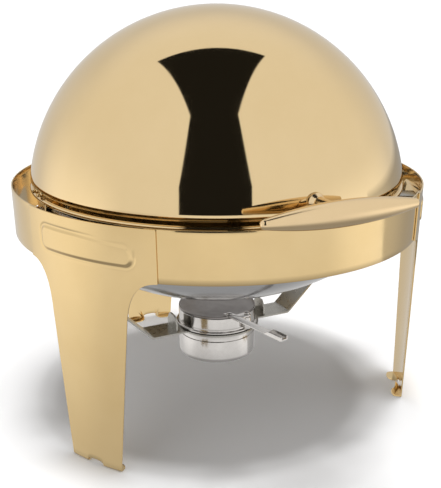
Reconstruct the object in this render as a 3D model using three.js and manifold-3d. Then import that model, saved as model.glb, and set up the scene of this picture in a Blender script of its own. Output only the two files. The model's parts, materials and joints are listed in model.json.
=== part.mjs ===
// Round roll top chafer on three sheet legs, with a lid that rolls back and under the pans.
// Millimetres, +Z up. The pieces are made about the axis of the round pans, with the lid's handle at -Y,
// and the whole is then moved so that the origin is on the floor under the middle of its overall box.
// Azimuths are measured from the handle side (-Y) towards +X.

import * as THREE from 'three';
import { mergeVertices } from 'three/addons/utils/BufferGeometryUtils.js';
import Module from 'manifold-3d';

const wasm = await Module();
wasm.setup();

// ---- Driving dimensions -------------------------------------------------------------------

const GAP = 0.3; // between two pieces that touch
const HOLE_PLAY = 0.4; // a hole's radius beyond its pin's

// Frame: three legs whose tops are part of one round band
const RIM_RADIUS = 235;
const RIM_HEIGHT = 265;
const LEG_LEAN = 6.6; // how far a leg's foot stands in from its top
const FRAME_SHEET = 1.5;
const BAND_DEPTH = 53;
const LEG_AZIMUTHS = { left: -60, right: 60, rear: 180 };
const LEG_PLATE_HALF_ANGLE = 20;
const LEG_THROAT_HALF_WIDTH = 48.4; // where the arch under the band ends
const LEG_FOOT_HALF_WIDTH = 32.8;
const ARCH_DEPTH = 43;
const PANEL_TUCK_ANGLE = 3; // how far a band panel reaches in behind a leg plate
const EMBOSS_HALF_WIDTH = 57;
const EMBOSS_HEIGHT = 24;
const EMBOSS_DEPTH = 1.2;
const EMBOSS_CORNER = 6;
const NOTCH_HALF_WIDTH = 11;
const NOTCH_HEIGHT = 6;
const FOOT_PAD_LENGTH = 13;
const FOOT_PAD_THICKNESS = 1.6;
const FRAME_STUD_RADIUS = 2;
const FRAME_STUD_LENGTH = 9;
const FRAME_STUD_SPREAD = 26; // height between the two studs of a seam
const FRAME_NUT_WIDTH = 7;
const FRAME_NUT_THICKNESS = 3.2;

// Support ring for the pans, inside the lid's path
const RING_CLEARANCE = 10.4; // from the lid's sphere in to the ring's outside
const RING_THICKNESS = 3;
const RING_HEIGHT = 24;
const RING_ABOVE_PIVOT = 8.6; // its top above the lid's pivot axis
const BRACKET_AZIMUTHS = { front_left: -20, front_right: 20, side_left: -60, side_right: 60 };
const BRACKET_WIDTH = 26;
const BRACKET_SHEET = 2;
const BRACKET_TAB = 16;
const BUMPER_RADIUS = 3.8;

// Pans
const PAN_SHEET = 1.2;
const PAN_FLANGE_LIP = 1; // reach of the water pan's flange past the ring
const WATER_WALL_INSET = 15; // from the ring's outside in to the water pan's wall
const WATER_BOWL_DEPTH = 67.96; // of its round bottom alone
const WATER_BELOW_FOOD = 57.5; // depth of the water pan beyond the food pan's
const FOOD_WALL_INSET = 4; // from the water pan's wall in to the food pan's
const FOOD_WALL_TAPER = 16;
const FOOD_PAN_DEPTH = 64;
const FOOD_PAN_CORNER = 14;

// Lid, a part of a sphere that turns about an axis along X through its own centre
const LID_CLEARANCE = 21.6; // from the rim in to the lid's sphere
const LID_SHEET = 1.5;
const LID_PIVOT_DROP = 23.6; // below the top of the band
const LID_CREASE_RISE = 28.6; // above the pivot axis, where the sphere ends and the hem begins
const HEM_BOTTOM_RISE = 16.6;
const HEM_INSET = 1.2;
const BEAD_HEIGHT = 2.6;
const BEAD_REACH = 2.7;

// Lid pivots, stacked along X from the pans outwards
const PIVOT_BOLT_RADIUS = 3;
const PIVOT_HEAD_WIDTH = 10;
const PIVOT_HEAD_THICKNESS = 4;
const PIVOT_THREAD_LENGTH = 14;
const LUG_SHEET = 2;
const LUG_EYE_RADIUS = 12;
const LUG_TOP_HALF_WIDTH = 15;
const WASHER_RADIUS = 9;
const WASHER_THICKNESS = 1.4;
const SPACER_RADIUS = 7;
const BOSS_RADIUS = 10;
const RIVET_RADIUS = 2;
const RIVET_HEAD_RADIUS = 3.6;
const RIVET_HEAD_THICKNESS = 1.3;
const RIVET_SPREAD = 18;

// Lid handle
const HANDLE_STANDOFF = 41.6; // from the lid's sphere out to the bar's axis
const HANDLE_RISE = 39.6; // above the lid's pivot axis
const HANDLE_HALF_LENGTH = 85;
const HANDLE_MIDDLE_RADIUS = 12.8;
const HANDLE_TIP_RADIUS = 5;
const STEM_RADIUS = 6.8;
const STEM_FOOT_RADIUS = 9;
const STEM_FOOT_LENGTH = 6;
const SPIGOT_RADIUS = 4.6;
const SPIGOT_LENGTH = 9;
const STEM_THREAD_RADIUS = 3;
const HANDLE_WASHER_RADIUS = 8;
const HANDLE_NUT_WIDTH = 10;
const HANDLE_NUT_THICKNESS = 5;

// Fuel holder and the strap that carries it
const STRAP_SHEET = 2;
const STRAP_WIDTH = 34;
const STRAP_BELOW_PAN = 48.5; // from the water pan's bottom down to the strap's underside
const STRAP_ARM_START = 34; // from an ear out to the foot of a rising arm
const STRAP_TAB_HEIGHT = 20;
const STRAP_RING_RIM = 3.4;
const EAR_CLEARANCE = 11.4; // from the collar out to an ear
const EAR_HALF_WIDTH = 13;
const EAR_HEIGHT = 18;
const CUP_SHEET = 1.2;
const COLLAR_RADIUS = 46.6;
const COLLAR_RISE = 21; // above the strap's underside
const COLLAR_BELOW_STRAP = 2;
const COLLAR_BEAD_REACH = 3;
const CUP_NECK_STEP = 1.6; // the collar's radius beyond the neck's
const CUP_NECK_HEIGHT = 6.5;
const CUP_BODY_STEP = 0.4; // the collar's radius beyond the body's
const CUP_BODY_HEIGHT = 27.5;
const CUP_BODY_CORNER = 4;
const SNUFFER_SHEET = 1.2;
const SNUFFER_LIP_HEIGHT = 2.6;
const SNUFFER_LIP_WIDTH = 1.4;
const PIN_AZIMUTH = 18;
const PIN_RADIUS = 2.2;
const PIN_BOSS_RADIUS = 5;
const PIN_BOSS_HEIGHT = 15;
const PIN_HEAD_RADIUS = 3.6;
const PIN_HEAD_THICKNESS = 2.4;
const LEVER_AZIMUTH = 13; // of its own direction
const LEVER_WIDTH = 10;
const LEVER_SHEET = 1.6;
const LEVER_OFFSET = 17; // its middle line passes this far to the left of the pin
const LEVER_INNER_REACH = 18; // from the pin inwards over the snuffer lid
const LEVER_OUTER_REACH = 81; // from the pin outwards
const LEVER_LUG_HALF_WIDTH = 5.4; // of the side lug that turns on the pin
const LEVER_GRIP_LENGTH = 27;
const LEVER_GRIP_HEIGHT = 5;
const LEVER_RIVET_REACH = 12; // from the pin inwards
const LEVER_RIVET_RADIUS = 1.8;

// How finely round pieces are cut
const ROUND_STEPS = 36;
const SMALL_STEPS = 12;
const STEP_ANGLE = 360 / ROUND_STEPS;

// ---- Sizes that follow --------------------------------------------------------------------

const radians = THREE.MathUtils.degToRad;
const FLAT = Math.cos(radians(STEP_ANGLE / 2)); // middle of a facet over its corner radius

const shellRadius = (z) => RIM_RADIUS - LEG_LEAN * (1 - z / RIM_HEIGHT);
const BAND_BOTTOM = RIM_HEIGHT - BAND_DEPTH;
const PANEL_INSET = FRAME_SHEET + GAP;
const PIVOT_HEIGHT = RIM_HEIGHT - LID_PIVOT_DROP;
const RING_TOP = PIVOT_HEIGHT + RING_ABOVE_PIVOT;
const RING_BOTTOM = RING_TOP - RING_HEIGHT;
const LID_RADIUS = RIM_RADIUS - LID_CLEARANCE;
const RING_RADIUS = LID_RADIUS - RING_CLEARANCE;
const HANDLE_REACH = LID_RADIUS + HANDLE_STANDOFF;
const CREASE_RADIUS = Math.sqrt(LID_RADIUS ** 2 - LID_CREASE_RISE ** 2);
const HEM_OUTER = CREASE_RADIUS - HEM_INSET;
const HEM_INNER = HEM_OUTER - LID_SHEET;
const BEAD_RADIUS = HEM_OUTER + BEAD_REACH;
const HEM_BOTTOM = PIVOT_HEIGHT + HEM_BOTTOM_RISE;
const CREASE_HEIGHT = PIVOT_HEIGHT + LID_CREASE_RISE;

const LUG_OUTER = HEM_INNER * FLAT - GAP;
const LUG_INNER = LUG_OUTER - LUG_SHEET;
const RING_OUTER_FLAT = RING_RADIUS * FLAT;
const RING_INNER_FLAT = (RING_RADIUS - RING_THICKNESS) * FLAT;
// A tab that is wider than a facet of the ring has to clear the next facets too
const NEXT_FACET_CUT = STRAP_WIDTH / 2 * Math.sin(radians(STEP_ANGLE));
const NEXT_FACET_REACH = (RING_INNER_FLAT - NEXT_FACET_CUT) / Math.cos(radians(STEP_ANGLE));
const STRAP_TAB_OUTER = Math.min(RING_INNER_FLAT, NEXT_FACET_REACH) - GAP;
const STRAP_TAB_INNER = STRAP_TAB_OUTER - STRAP_SHEET;
const BOSS_INNER = LUG_OUTER + 2 * GAP + WASHER_THICKNESS;
const BOSS_OUTER = (shellRadius(PIVOT_HEIGHT - BOSS_RADIUS) - PANEL_INSET - FRAME_SHEET) * FLAT - GAP;
const RIVET_RISE = (LID_CREASE_RISE + HEM_BOTTOM_RISE + BEAD_HEIGHT) / 2;

const WATER_PAN_RADIUS = RING_RADIUS - WATER_WALL_INSET;
const WATER_PAN_DEPTH = FOOD_PAN_DEPTH + WATER_BELOW_FOOD;
const WATER_BOWL_RADIUS = (WATER_PAN_RADIUS ** 2 + WATER_BOWL_DEPTH ** 2) / (2 * WATER_BOWL_DEPTH);
const WATER_BOTTOM = RING_TOP - WATER_PAN_DEPTH;
const FOOD_PAN_RADIUS = WATER_PAN_RADIUS - FOOD_WALL_INSET;
const FOOD_PAN_FLOOR_RADIUS = FOOD_PAN_RADIUS - FOOD_WALL_TAPER;

const STRAP_LEVEL = WATER_BOTTOM - STRAP_BELOW_PAN;
const EAR_REACH = COLLAR_RADIUS + EAR_CLEARANCE;
const STRAP_FLAT_HALF_LENGTH = EAR_REACH + STRAP_ARM_START;
const COLLAR_BOTTOM = STRAP_LEVEL - COLLAR_BELOW_STRAP;
const COLLAR_TOP = STRAP_LEVEL + COLLAR_RISE;
const CUP_NECK_BOTTOM = COLLAR_BOTTOM - CUP_NECK_HEIGHT;
const CUP_BOTTOM = CUP_NECK_BOTTOM - CUP_BODY_HEIGHT;
const STRAP_TOP = STRAP_LEVEL + STRAP_SHEET;
const SNUFFER_BOTTOM = COLLAR_TOP + GAP;
const SNUFFER_TOP = SNUFFER_BOTTOM + SNUFFER_SHEET;
const LEVER_BOTTOM = SNUFFER_TOP + GAP;
const LEVER_TOP = LEVER_BOTTOM + LEVER_SHEET;
const PIN_REACH = COLLAR_RADIUS + PIN_BOSS_RADIUS - 2 * CUP_SHEET / 3;

// ---- Finishes -----------------------------------------------------------------------------

const finish = (color, roughness, metalness) => new THREE.MeshStandardMaterial({ color, roughness, metalness });
const GOLD = finish(0xdcb878, 0.12, 1);
const GOLD_HANDLE = finish(0xd9b684, 0.2, 1);
const PAN_STEEL = finish(0xe2e3e6, 0.15, 1);
const CHROME = finish(0xd5d3d0, 0.1, 1);
const STRAP_STEEL = finish(0x9a9892, 0.3, 1);
const SNUFFER_STEEL = finish(0x8a8583, 0.4, 1);
const ZINC = finish(0xb9bcc0, 0.4, 1);
const NYLON = finish(0xe8e6df, 0.6, 0);
const RUBBER = finish(0x26241f, 0.85, 0);

// ---- Solids -------------------------------------------------------------------------------

/** Makes a boolean-ready solid out of a closed geometry. */
function solidOf(geometry) {
  const bare = geometry.clone();
  bare.deleteAttribute('normal');
  bare.deleteAttribute('uv');
  const merged = mergeVertices(bare, 1e-4);
  const mesh = new wasm.Mesh({
    numProp: 3,
    vertProperties: new Float32Array(merged.attributes.position.array),
    triVerts: new Uint32Array(merged.index.array),
  });
  return new wasm.Manifold(mesh);
}

/** Turns a solid back into a geometry. */
function geometryOf(solid) {
  const mesh = solid.getMesh();
  const geometry = new THREE.BufferGeometry();
  geometry.setAttribute('position', new THREE.BufferAttribute(new Float32Array(mesh.vertProperties), 3));
  geometry.setIndex(new THREE.BufferAttribute(new Uint32Array(mesh.triVerts), 1));
  geometry.computeVertexNormals();
  return geometry;
}

/** Turns an outline of [radius, height] points about +Z, with a facet's middle at azimuth 0. */
function turned(outline, steps = ROUND_STEPS) {
  const points = outline.map(([radius, height]) => new THREE.Vector2(radius, height));
  const geometry = new THREE.LatheGeometry(points, steps, Math.PI / steps, 2 * Math.PI);
  return solidOf(geometry.rotateX(Math.PI / 2));
}

/** A closed ring between two radii and two heights. */
function tube(inner, outer, bottom, top, steps = SMALL_STEPS) {
  return turned([[inner, bottom], [outer, bottom], [outer, top], [inner, top], [inner, bottom]], steps);
}

/** A disc or post about +Z between two heights. */
function post(radius, bottom, top, steps = SMALL_STEPS) {
  return turned([[0, bottom], [radius, bottom], [radius, top], [0, top]], steps);
}

/** Extrudes a THREE.Shape by a depth along +Z. */
function slab(shape, depth, curveSegments = 6) {
  return solidOf(new THREE.ExtrudeGeometry(shape, { depth, bevelEnabled: false, curveSegments }));
}

/** A box given by its low and high corners. */
function block(low, high) {
  const size = high.map((value, axis) => value - low[axis]);
  const middle = high.map((value, axis) => (value + low[axis]) / 2);
  return solidOf(new THREE.BoxGeometry(...size).translate(...middle));
}

/** An outline in X and Z, extruded from y = -far to y = -near: it stands in front of the axis. */
function facing(shape, near, far, curveSegments = 6) {
  return slab(shape, far - near, curveSegments).rotate([90, 0, 0]).translate([0, -near, 0]);
}

/** Lays a solid that was made along +Z along +X, with its height becoming X. */
const alongX = (solid) => solid.rotate([0, 90, 0]);

/** Lays a solid that was made along +Z along -Y, with its height becoming the distance from the axis. */
const alongFront = (solid) => solid.rotate([90, 0, 0]);

/** Turns a solid made at the handle side to an azimuth. */
const atAzimuth = (solid, azimuth) => solid.rotate([0, 0, azimuth]);

/** A pie slice about +Z, wide enough to cut any piece here. */
function sector(halfAngle, bottom, top) {
  const far = 2 * RIM_RADIUS;
  const shape = new THREE.Shape();
  shape.moveTo(0, 0);
  shape.lineTo(-far * Math.sin(radians(halfAngle)), -far * Math.cos(radians(halfAngle)));
  shape.lineTo(far * Math.sin(radians(halfAngle)), -far * Math.cos(radians(halfAngle)));
  shape.closePath();
  return slab(shape, top - bottom).translate([0, 0, bottom]);
}

/** The leaning shell that the legs and the band are parts of, moved in by an inset. */
function leaningShell(inset, bottom, top, thickness) {
  const outer = (z) => shellRadius(z) - inset;
  return turned([
    [outer(bottom) - thickness, bottom],
    [outer(bottom), bottom],
    [outer(top), top],
    [outer(top) - thickness, top],
    [outer(bottom) - thickness, bottom],
  ]);
}

/** A hexagonal nut about +Z, standing on z = 0. */
function nut(width, thickness, boreRadius) {
  return post(width / Math.sqrt(3), 0, thickness, 6).subtract(post(boreRadius, -1, thickness + 1, 8));
}

const object = new THREE.Group();

/** Adds a solid to the object as a named piece. */
function add(name, solid, material) {
  const mesh = new THREE.Mesh(geometryOf(solid), material);
  mesh.name = name;
  object.add(mesh);
}

// ---- Frame --------------------------------------------------------------------------------

const SEAM_ANGLE = LEG_PLATE_HALF_ANGLE - PANEL_TUCK_ANGLE / 2;
const SEAM_HEIGHTS = [-1, 1].map((side) => RIM_HEIGHT - BAND_DEPTH / 2 + side * FRAME_STUD_SPREAD / 2);

/** A leg's outline seen from outside: the plate at the band, the arches under it and the notched foot. */
function legOutline() {
  const half = RIM_RADIUS * Math.sin(radians(LEG_PLATE_HALF_ANGLE));
  const throat = BAND_BOTTOM - ARCH_DEPTH;
  const lean = (LEG_THROAT_HALF_WIDTH - LEG_FOOT_HALF_WIDTH) / throat;
  const corner = LEG_THROAT_HALF_WIDTH + lean * ARCH_DEPTH;
  const shape = new THREE.Shape();
  shape.moveTo(-half, RIM_HEIGHT);
  shape.lineTo(-half, BAND_BOTTOM);
  shape.quadraticCurveTo(-corner, BAND_BOTTOM, -LEG_THROAT_HALF_WIDTH, throat);
  shape.lineTo(-LEG_FOOT_HALF_WIDTH, 0);
  shape.lineTo(-NOTCH_HALF_WIDTH, 0);
  shape.bezierCurveTo(-NOTCH_HALF_WIDTH, NOTCH_HEIGHT, NOTCH_HALF_WIDTH, NOTCH_HEIGHT, NOTCH_HALF_WIDTH, 0);
  shape.lineTo(LEG_FOOT_HALF_WIDTH, 0);
  shape.lineTo(LEG_THROAT_HALF_WIDTH, throat);
  shape.quadraticCurveTo(corner, BAND_BOTTOM, half, BAND_BOTTOM);
  shape.lineTo(half, RIM_HEIGHT);
  shape.closePath();
  return shape;
}

/** The raised panel's outline on a leg plate. */
function embossOutline() {
  const half = EMBOSS_HALF_WIDTH;
  const low = RIM_HEIGHT - BAND_DEPTH / 2 - EMBOSS_HEIGHT / 2;
  const high = low + EMBOSS_HEIGHT;
  const corner = EMBOSS_CORNER;
  const shape = new THREE.Shape();
  shape.moveTo(-half + corner, low);
  shape.lineTo(half - corner, low);
  shape.quadraticCurveTo(half, low, half, low + corner);
  shape.lineTo(half, high - corner);
  shape.quadraticCurveTo(half, high, half - corner, high);
  shape.lineTo(-half + corner, high);
  shape.quadraticCurveTo(-half, high, -half, high - corner);
  shape.lineTo(-half, low + corner);
  shape.quadraticCurveTo(-half, low, -half + corner, low);
  return shape;
}

/** A foot pad on one side of the notch, folded inwards, with a rounded inner end. */
function footPad(side) {
  const inner = shellRadius(0) - FOOT_PAD_LENGTH;
  const near = side * NOTCH_HALF_WIDTH;
  const far = side * LEG_FOOT_HALF_WIDTH;
  const shape = new THREE.Shape();
  shape.moveTo(near, -RIM_RADIUS);
  shape.lineTo(near, -inner - FOOT_PAD_LENGTH / 2);
  shape.quadraticCurveTo(near, -inner, (near + far) / 2, -inner);
  shape.quadraticCurveTo(far, -inner, far, -inner - FOOT_PAD_LENGTH / 2);
  shape.lineTo(far, -RIM_RADIUS);
  shape.closePath();
  return slab(shape, FOOT_PAD_THICKNESS, 4);
}

/** The radial studs of a seam, from inside the leg plate inwards. */
function seamStuds(side) {
  return SEAM_HEIGHTS.map((height) => {
    const outer = (shellRadius(height) - FRAME_SHEET / 2) * FLAT;
    const stud = alongFront(post(FRAME_STUD_RADIUS, outer - FRAME_STUD_LENGTH, outer, 8));
    return atAzimuth(stud.translate([0, 0, height]), side * SEAM_ANGLE);
  });
}

function leg() {
  let solid = leaningShell(0, 0, RIM_HEIGHT, FRAME_SHEET);
  solid = solid.intersect(facing(legOutline(), RIM_RADIUS / 2, 2 * RIM_RADIUS));
  const raised = leaningShell(-EMBOSS_DEPTH, BAND_BOTTOM, RIM_HEIGHT, FRAME_SHEET);
  solid = solid.add(raised.intersect(facing(embossOutline(), RIM_RADIUS / 2, 2 * RIM_RADIUS)));
  const core = post(shellRadius(0) - FRAME_SHEET / 2, -1, FOOT_PAD_THICKNESS + 1, ROUND_STEPS);
  for (const side of [-1, 1]) {
    solid = solid.add(footPad(side).intersect(core));
    for (const stud of seamStuds(side)) solid = solid.add(stud);
  }
  return solid;
}

for (const [place, azimuth] of Object.entries(LEG_AZIMUTHS)) {
  add(`leg_${place}`, atAzimuth(leg(), azimuth), GOLD);
}

const PANEL_HALF_ANGLE = 60 - LEG_PLATE_HALF_ANGLE + PANEL_TUCK_ANGLE;
const PANEL_AZIMUTHS = { front: 0, rear_right: 120, rear_left: -120 };

function bandPanel() {
  let solid = leaningShell(PANEL_INSET, BAND_BOTTOM, RIM_HEIGHT, FRAME_SHEET);
  solid = solid.intersect(sector(PANEL_HALF_ANGLE, BAND_BOTTOM - 1, RIM_HEIGHT + 1));
  for (const side of [-1, 1]) {
    for (const height of SEAM_HEIGHTS) {
      const drill = alongFront(post(FRAME_STUD_RADIUS + HOLE_PLAY, RIM_RADIUS / 2, 2 * RIM_RADIUS, 8));
      const azimuth = side * (60 - SEAM_ANGLE);
      solid = solid.subtract(atAzimuth(drill.translate([0, 0, height]), azimuth));
    }
  }
  return solid;
}

for (const [place, azimuth] of Object.entries(PANEL_AZIMUTHS)) {
  add(`band_${place}`, atAzimuth(bandPanel(), azimuth), GOLD);
}

for (const [place, legAzimuth] of Object.entries(LEG_AZIMUTHS)) {
  for (const [seam, side] of [['a', -1], ['b', 1]]) {
    for (const [level, height] of SEAM_HEIGHTS.entries()) {
      const seat = (shellRadius(height) - PANEL_INSET - FRAME_SHEET) * FLAT - 2 * GAP;
      const piece = alongFront(nut(FRAME_NUT_WIDTH, FRAME_NUT_THICKNESS, FRAME_STUD_RADIUS + HOLE_PLAY));
      const placed = piece.translate([0, -(seat - FRAME_NUT_THICKNESS), height]);
      add(`frame_nut_${place}_${seam}${level + 1}`, atAzimuth(placed, legAzimuth + side * SEAM_ANGLE), ZINC);
    }
  }
}

// ---- Support ring, brackets and bumpers ---------------------------------------------------

const pivotDrill = alongX(post(PIVOT_BOLT_RADIUS + HOLE_PLAY, -RIM_RADIUS, RIM_RADIUS));
const pivotHole = pivotDrill.translate([0, 0, PIVOT_HEIGHT]);
const ring = tube(RING_RADIUS - RING_THICKNESS, RING_RADIUS, RING_BOTTOM, RING_TOP, ROUND_STEPS);
add('pan_support_ring', ring.subtract(pivotHole), STRAP_STEEL);

const BRACKET_TOP = RING_TOP - 5;

/** An upside-down U of sheet between the ring and the frame, at the handle side. */
function bracket(insetFromShell) {
  const low = BRACKET_TOP - BRACKET_TAB;
  const near = RING_OUTER_FLAT + GAP;
  const far = (shellRadius(low) - insetFromShell - FRAME_SHEET) * FLAT - GAP;
  const half = BRACKET_WIDTH / 2;
  const outside = block([-half, -far, low], [half, -near, BRACKET_TOP]);
  const hollow = block(
    [-half - 1, -far + BRACKET_SHEET, low - 1],
    [half + 1, -near - BRACKET_SHEET, BRACKET_TOP - BRACKET_SHEET],
  );
  return outside.subtract(hollow);
}

for (const [place, azimuth] of Object.entries(BRACKET_AZIMUTHS)) {
  const onLeg = Math.abs(azimuth) === LEG_AZIMUTHS.right;
  add(`ring_bracket_${place}`, atAzimuth(bracket(onLeg ? 0 : PANEL_INSET), azimuth), STRAP_STEEL);
}

const bumper = post(BUMPER_RADIUS, BRACKET_TOP + GAP, HEM_BOTTOM - GAP);
const BUMPER_REACH = (HEM_INNER + BEAD_RADIUS) / 2;
for (const [place, azimuth] of [['left', BRACKET_AZIMUTHS.front_left], ['right', BRACKET_AZIMUTHS.front_right]]) {
  add(`lid_bumper_${place}`, atAzimuth(bumper.translate([0, -BUMPER_REACH, 0]), azimuth), RUBBER);
}

// ---- Pans ---------------------------------------------------------------------------------

const PAN_FLANGE_RADIUS = RING_RADIUS + PAN_FLANGE_LIP;
const WATER_FLANGE_BOTTOM = RING_TOP + GAP;
const FOOD_FLANGE_BOTTOM = WATER_FLANGE_BOTTOM + PAN_SHEET + GAP;
const FOOD_BOTTOM = FOOD_FLANGE_BOTTOM - FOOD_PAN_DEPTH;

/** Points of the water pan's bowl from its wall to the axis, moved in by an inset. */
function bowlArc(inset, count) {
  const centre = WATER_BOTTOM + WATER_BOWL_RADIUS;
  const radius = WATER_BOWL_RADIUS - inset;
  const edge = Math.asin((WATER_PAN_RADIUS - inset) / radius);
  return Array.from({ length: count + 1 }, (_, step) => {
    const angle = edge * (1 - step / count);
    return [step === count ? 0 : radius * Math.sin(angle), centre - radius * Math.cos(angle)];
  });
}

function waterPan() {
  const top = WATER_FLANGE_BOTTOM + PAN_SHEET;
  return turned([
    ...bowlArc(PAN_SHEET, 6).reverse(),
    [WATER_PAN_RADIUS - PAN_SHEET, top],
    [PAN_FLANGE_RADIUS, top],
    [PAN_FLANGE_RADIUS, WATER_FLANGE_BOTTOM],
    [WATER_PAN_RADIUS, WATER_FLANGE_BOTTOM],
    ...bowlArc(0, 6),
  ].reverse());
}

/** The food pan's corner between floor and wall, moved in by an inset. */
function foodCorner(inset, count) {
  const radius = FOOD_PAN_CORNER - inset;
  const centreRadius = FOOD_PAN_FLOOR_RADIUS - FOOD_PAN_CORNER;
  const centreHeight = FOOD_BOTTOM + FOOD_PAN_CORNER;
  return Array.from({ length: count + 1 }, (_, step) => {
    const angle = radians(90 * step / count);
    return [centreRadius + radius * Math.sin(angle), centreHeight - radius * Math.cos(angle)];
  });
}

function foodPan() {
  const top = FOOD_FLANGE_BOTTOM + PAN_SHEET;
  return turned([
    [0, FOOD_BOTTOM],
    ...foodCorner(0, 3),
    [FOOD_PAN_RADIUS, FOOD_FLANGE_BOTTOM],
    [PAN_FLANGE_RADIUS, FOOD_FLANGE_BOTTOM],
    [PAN_FLANGE_RADIUS, top],
    [FOOD_PAN_RADIUS - PAN_SHEET, top],
    ...foodCorner(PAN_SHEET, 3).reverse(),
    [0, FOOD_BOTTOM + PAN_SHEET],
  ]);
}

add('water_pan', waterPan(), PAN_STEEL);
add('food_pan', foodPan(), PAN_STEEL);

// ---- Lid ----------------------------------------------------------------------------------

/** Points of the lid's sphere from the crease to the crown, moved in by an inset. */
function lidArc(inset, count) {
  const radius = LID_RADIUS - inset;
  const start = Math.asin(LID_CREASE_RISE / radius);
  return Array.from({ length: count + 1 }, (_, step) => {
    const angle = start + (Math.PI / 2 - start) * step / count;
    return [step === count ? 0 : radius * Math.cos(angle), PIVOT_HEIGHT + radius * Math.sin(angle)];
  });
}

/** A filled body under the lid's sphere, for cutting what seats on the lid. */
function lidCore(inset) {
  return turned([[0, CREASE_HEIGHT - 20], [CREASE_RADIUS - inset, CREASE_HEIGHT - 20], ...lidArc(inset, 9)]);
}

const handleHeight = PIVOT_HEIGHT + HANDLE_RISE;
const handleDrill = alongFront(post(STEM_THREAD_RADIUS + HOLE_PLAY, 0, RIM_RADIUS)).translate([0, 0, handleHeight]);

/** Both rivets of the lug at +X, given the reach of their two ends; a play widens them. */
function rivetDrills(radius, near, far) {
  return [-1, 1].map((side) => {
    const rod = alongX(post(radius, near, far, 8));
    return rod.translate([0, side * RIVET_SPREAD / 2, PIVOT_HEIGHT + RIVET_RISE]);
  });
}

function lidDome() {
  const outer = lidArc(0, 9).reverse();
  const inner = lidArc(LID_SHEET, 9);
  let solid = turned([
    ...outer,
    [HEM_OUTER, CREASE_HEIGHT - HEM_INSET],
    [HEM_OUTER, HEM_BOTTOM + BEAD_HEIGHT],
    [BEAD_RADIUS, HEM_BOTTOM + BEAD_HEIGHT],
    [BEAD_RADIUS, HEM_BOTTOM],
    [HEM_INNER, HEM_BOTTOM],
    [HEM_INNER, CREASE_HEIGHT - HEM_INSET],
    ...inner,
  ].reverse());
  solid = solid.subtract(handleDrill);
  for (const drill of rivetDrills(RIVET_RADIUS + HOLE_PLAY, 0, RIM_RADIUS)) {
    solid = solid.subtract(drill).subtract(drill.mirror([1, 0, 0]));
  }
  return solid;
}

add('lid_dome', lidDome(), GOLD);

/** The plate that carries the lid on its pivot at +X. */
function lidLug() {
  const top = PIVOT_HEIGHT + LID_CREASE_RISE - HEM_INSET - 2;
  const shape = new THREE.Shape();
  shape.moveTo(LUG_TOP_HALF_WIDTH, top);
  shape.lineTo(-LUG_TOP_HALF_WIDTH, top);
  shape.lineTo(-LUG_TOP_HALF_WIDTH, PIVOT_HEIGHT + HEM_BOTTOM_RISE);
  shape.lineTo(-LUG_EYE_RADIUS, PIVOT_HEIGHT);
  shape.absarc(0, PIVOT_HEIGHT, LUG_EYE_RADIUS, Math.PI, 2 * Math.PI, false);
  shape.lineTo(LUG_TOP_HALF_WIDTH, PIVOT_HEIGHT + HEM_BOTTOM_RISE);
  shape.closePath();
  let solid = facing(shape, LUG_INNER, LUG_OUTER, 5).rotate([0, 0, 90]);
  solid = solid.subtract(pivotHole);
  for (const drill of rivetDrills(RIVET_RADIUS + HOLE_PLAY, 0, RIM_RADIUS)) solid = solid.subtract(drill);
  return solid;
}

/** Moves a solid that was made along +Z from z = 0 onto the pivot axis, starting at a given X. */
const onPivot = (solid, start) => alongX(solid).translate([start, 0, PIVOT_HEIGHT]);

/** The pivot pieces at +X, by name. */
function pivotPieces() {
  const hole = PIVOT_BOLT_RADIUS + HOLE_PLAY;
  const headStart = STRAP_TAB_INNER - GAP - PIVOT_HEAD_THICKNESS;
  const head = post(PIVOT_HEAD_WIDTH / Math.sqrt(3), 0, PIVOT_HEAD_THICKNESS, 6);
  const shankEnd = BOSS_INNER + PIVOT_THREAD_LENGTH - headStart;
  const bolt = head.add(post(PIVOT_BOLT_RADIUS, PIVOT_HEAD_THICKNESS / 2, shankEnd));
  const boss = post(BOSS_RADIUS, 0, BOSS_OUTER - BOSS_INNER).subtract(post(hole, -1, PIVOT_THREAD_LENGTH + 1));
  const spacerStart = RING_OUTER_FLAT + GAP;
  return {
    pivot_bolt: [onPivot(bolt, headStart), ZINC],
    pivot_spacer: [onPivot(tube(hole, SPACER_RADIUS, 0, LUG_INNER - GAP - spacerStart), spacerStart), CHROME],
    friction_washer: [onPivot(tube(hole, WASHER_RADIUS, 0, WASHER_THICKNESS), LUG_OUTER + GAP), NYLON],
    pivot_boss: [onPivot(boss, BOSS_INNER), ZINC],
    lid_lug: [lidLug(), GOLD],
  };
}

/** One rivet through the lug and the hem, with a head on each side. */
function lugRivets() {
  const outside = HEM_OUTER * FLAT + GAP;
  const inside = LUG_INNER - GAP;
  const shanks = rivetDrills(RIVET_RADIUS, inside - RIVET_HEAD_THICKNESS / 2, outside + RIVET_HEAD_THICKNESS / 2);
  const innerHeads = rivetDrills(RIVET_HEAD_RADIUS, inside - RIVET_HEAD_THICKNESS, inside);
  const outerHeads = rivetDrills(RIVET_HEAD_RADIUS, outside, outside + RIVET_HEAD_THICKNESS);
  return shanks.map((shank, place) => shank.add(innerHeads[place]).add(outerHeads[place]));
}

for (const [side, isLeft] of [['left', true], ['right', false]]) {
  const place = (solid) => (isLeft ? solid.mirror([1, 0, 0]) : solid);
  for (const [name, [solid, material]] of Object.entries(pivotPieces())) add(`${name}_${side}`, place(solid), material);
  for (const [order, solid] of lugRivets().entries()) add(`lug_rivet_${side}_${order + 1}`, place(solid), GOLD);
}

// ---- Lid handle ---------------------------------------------------------------------------

const STEM_OUTER = HANDLE_REACH - HANDLE_MIDDLE_RADIUS - GAP;
const STEM_INNER = HEM_INNER - 2 * PIVOT_HEAD_THICKNESS - HANDLE_NUT_THICKNESS;
const atHandle = (solid) => alongFront(solid).translate([0, 0, handleHeight]);

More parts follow.
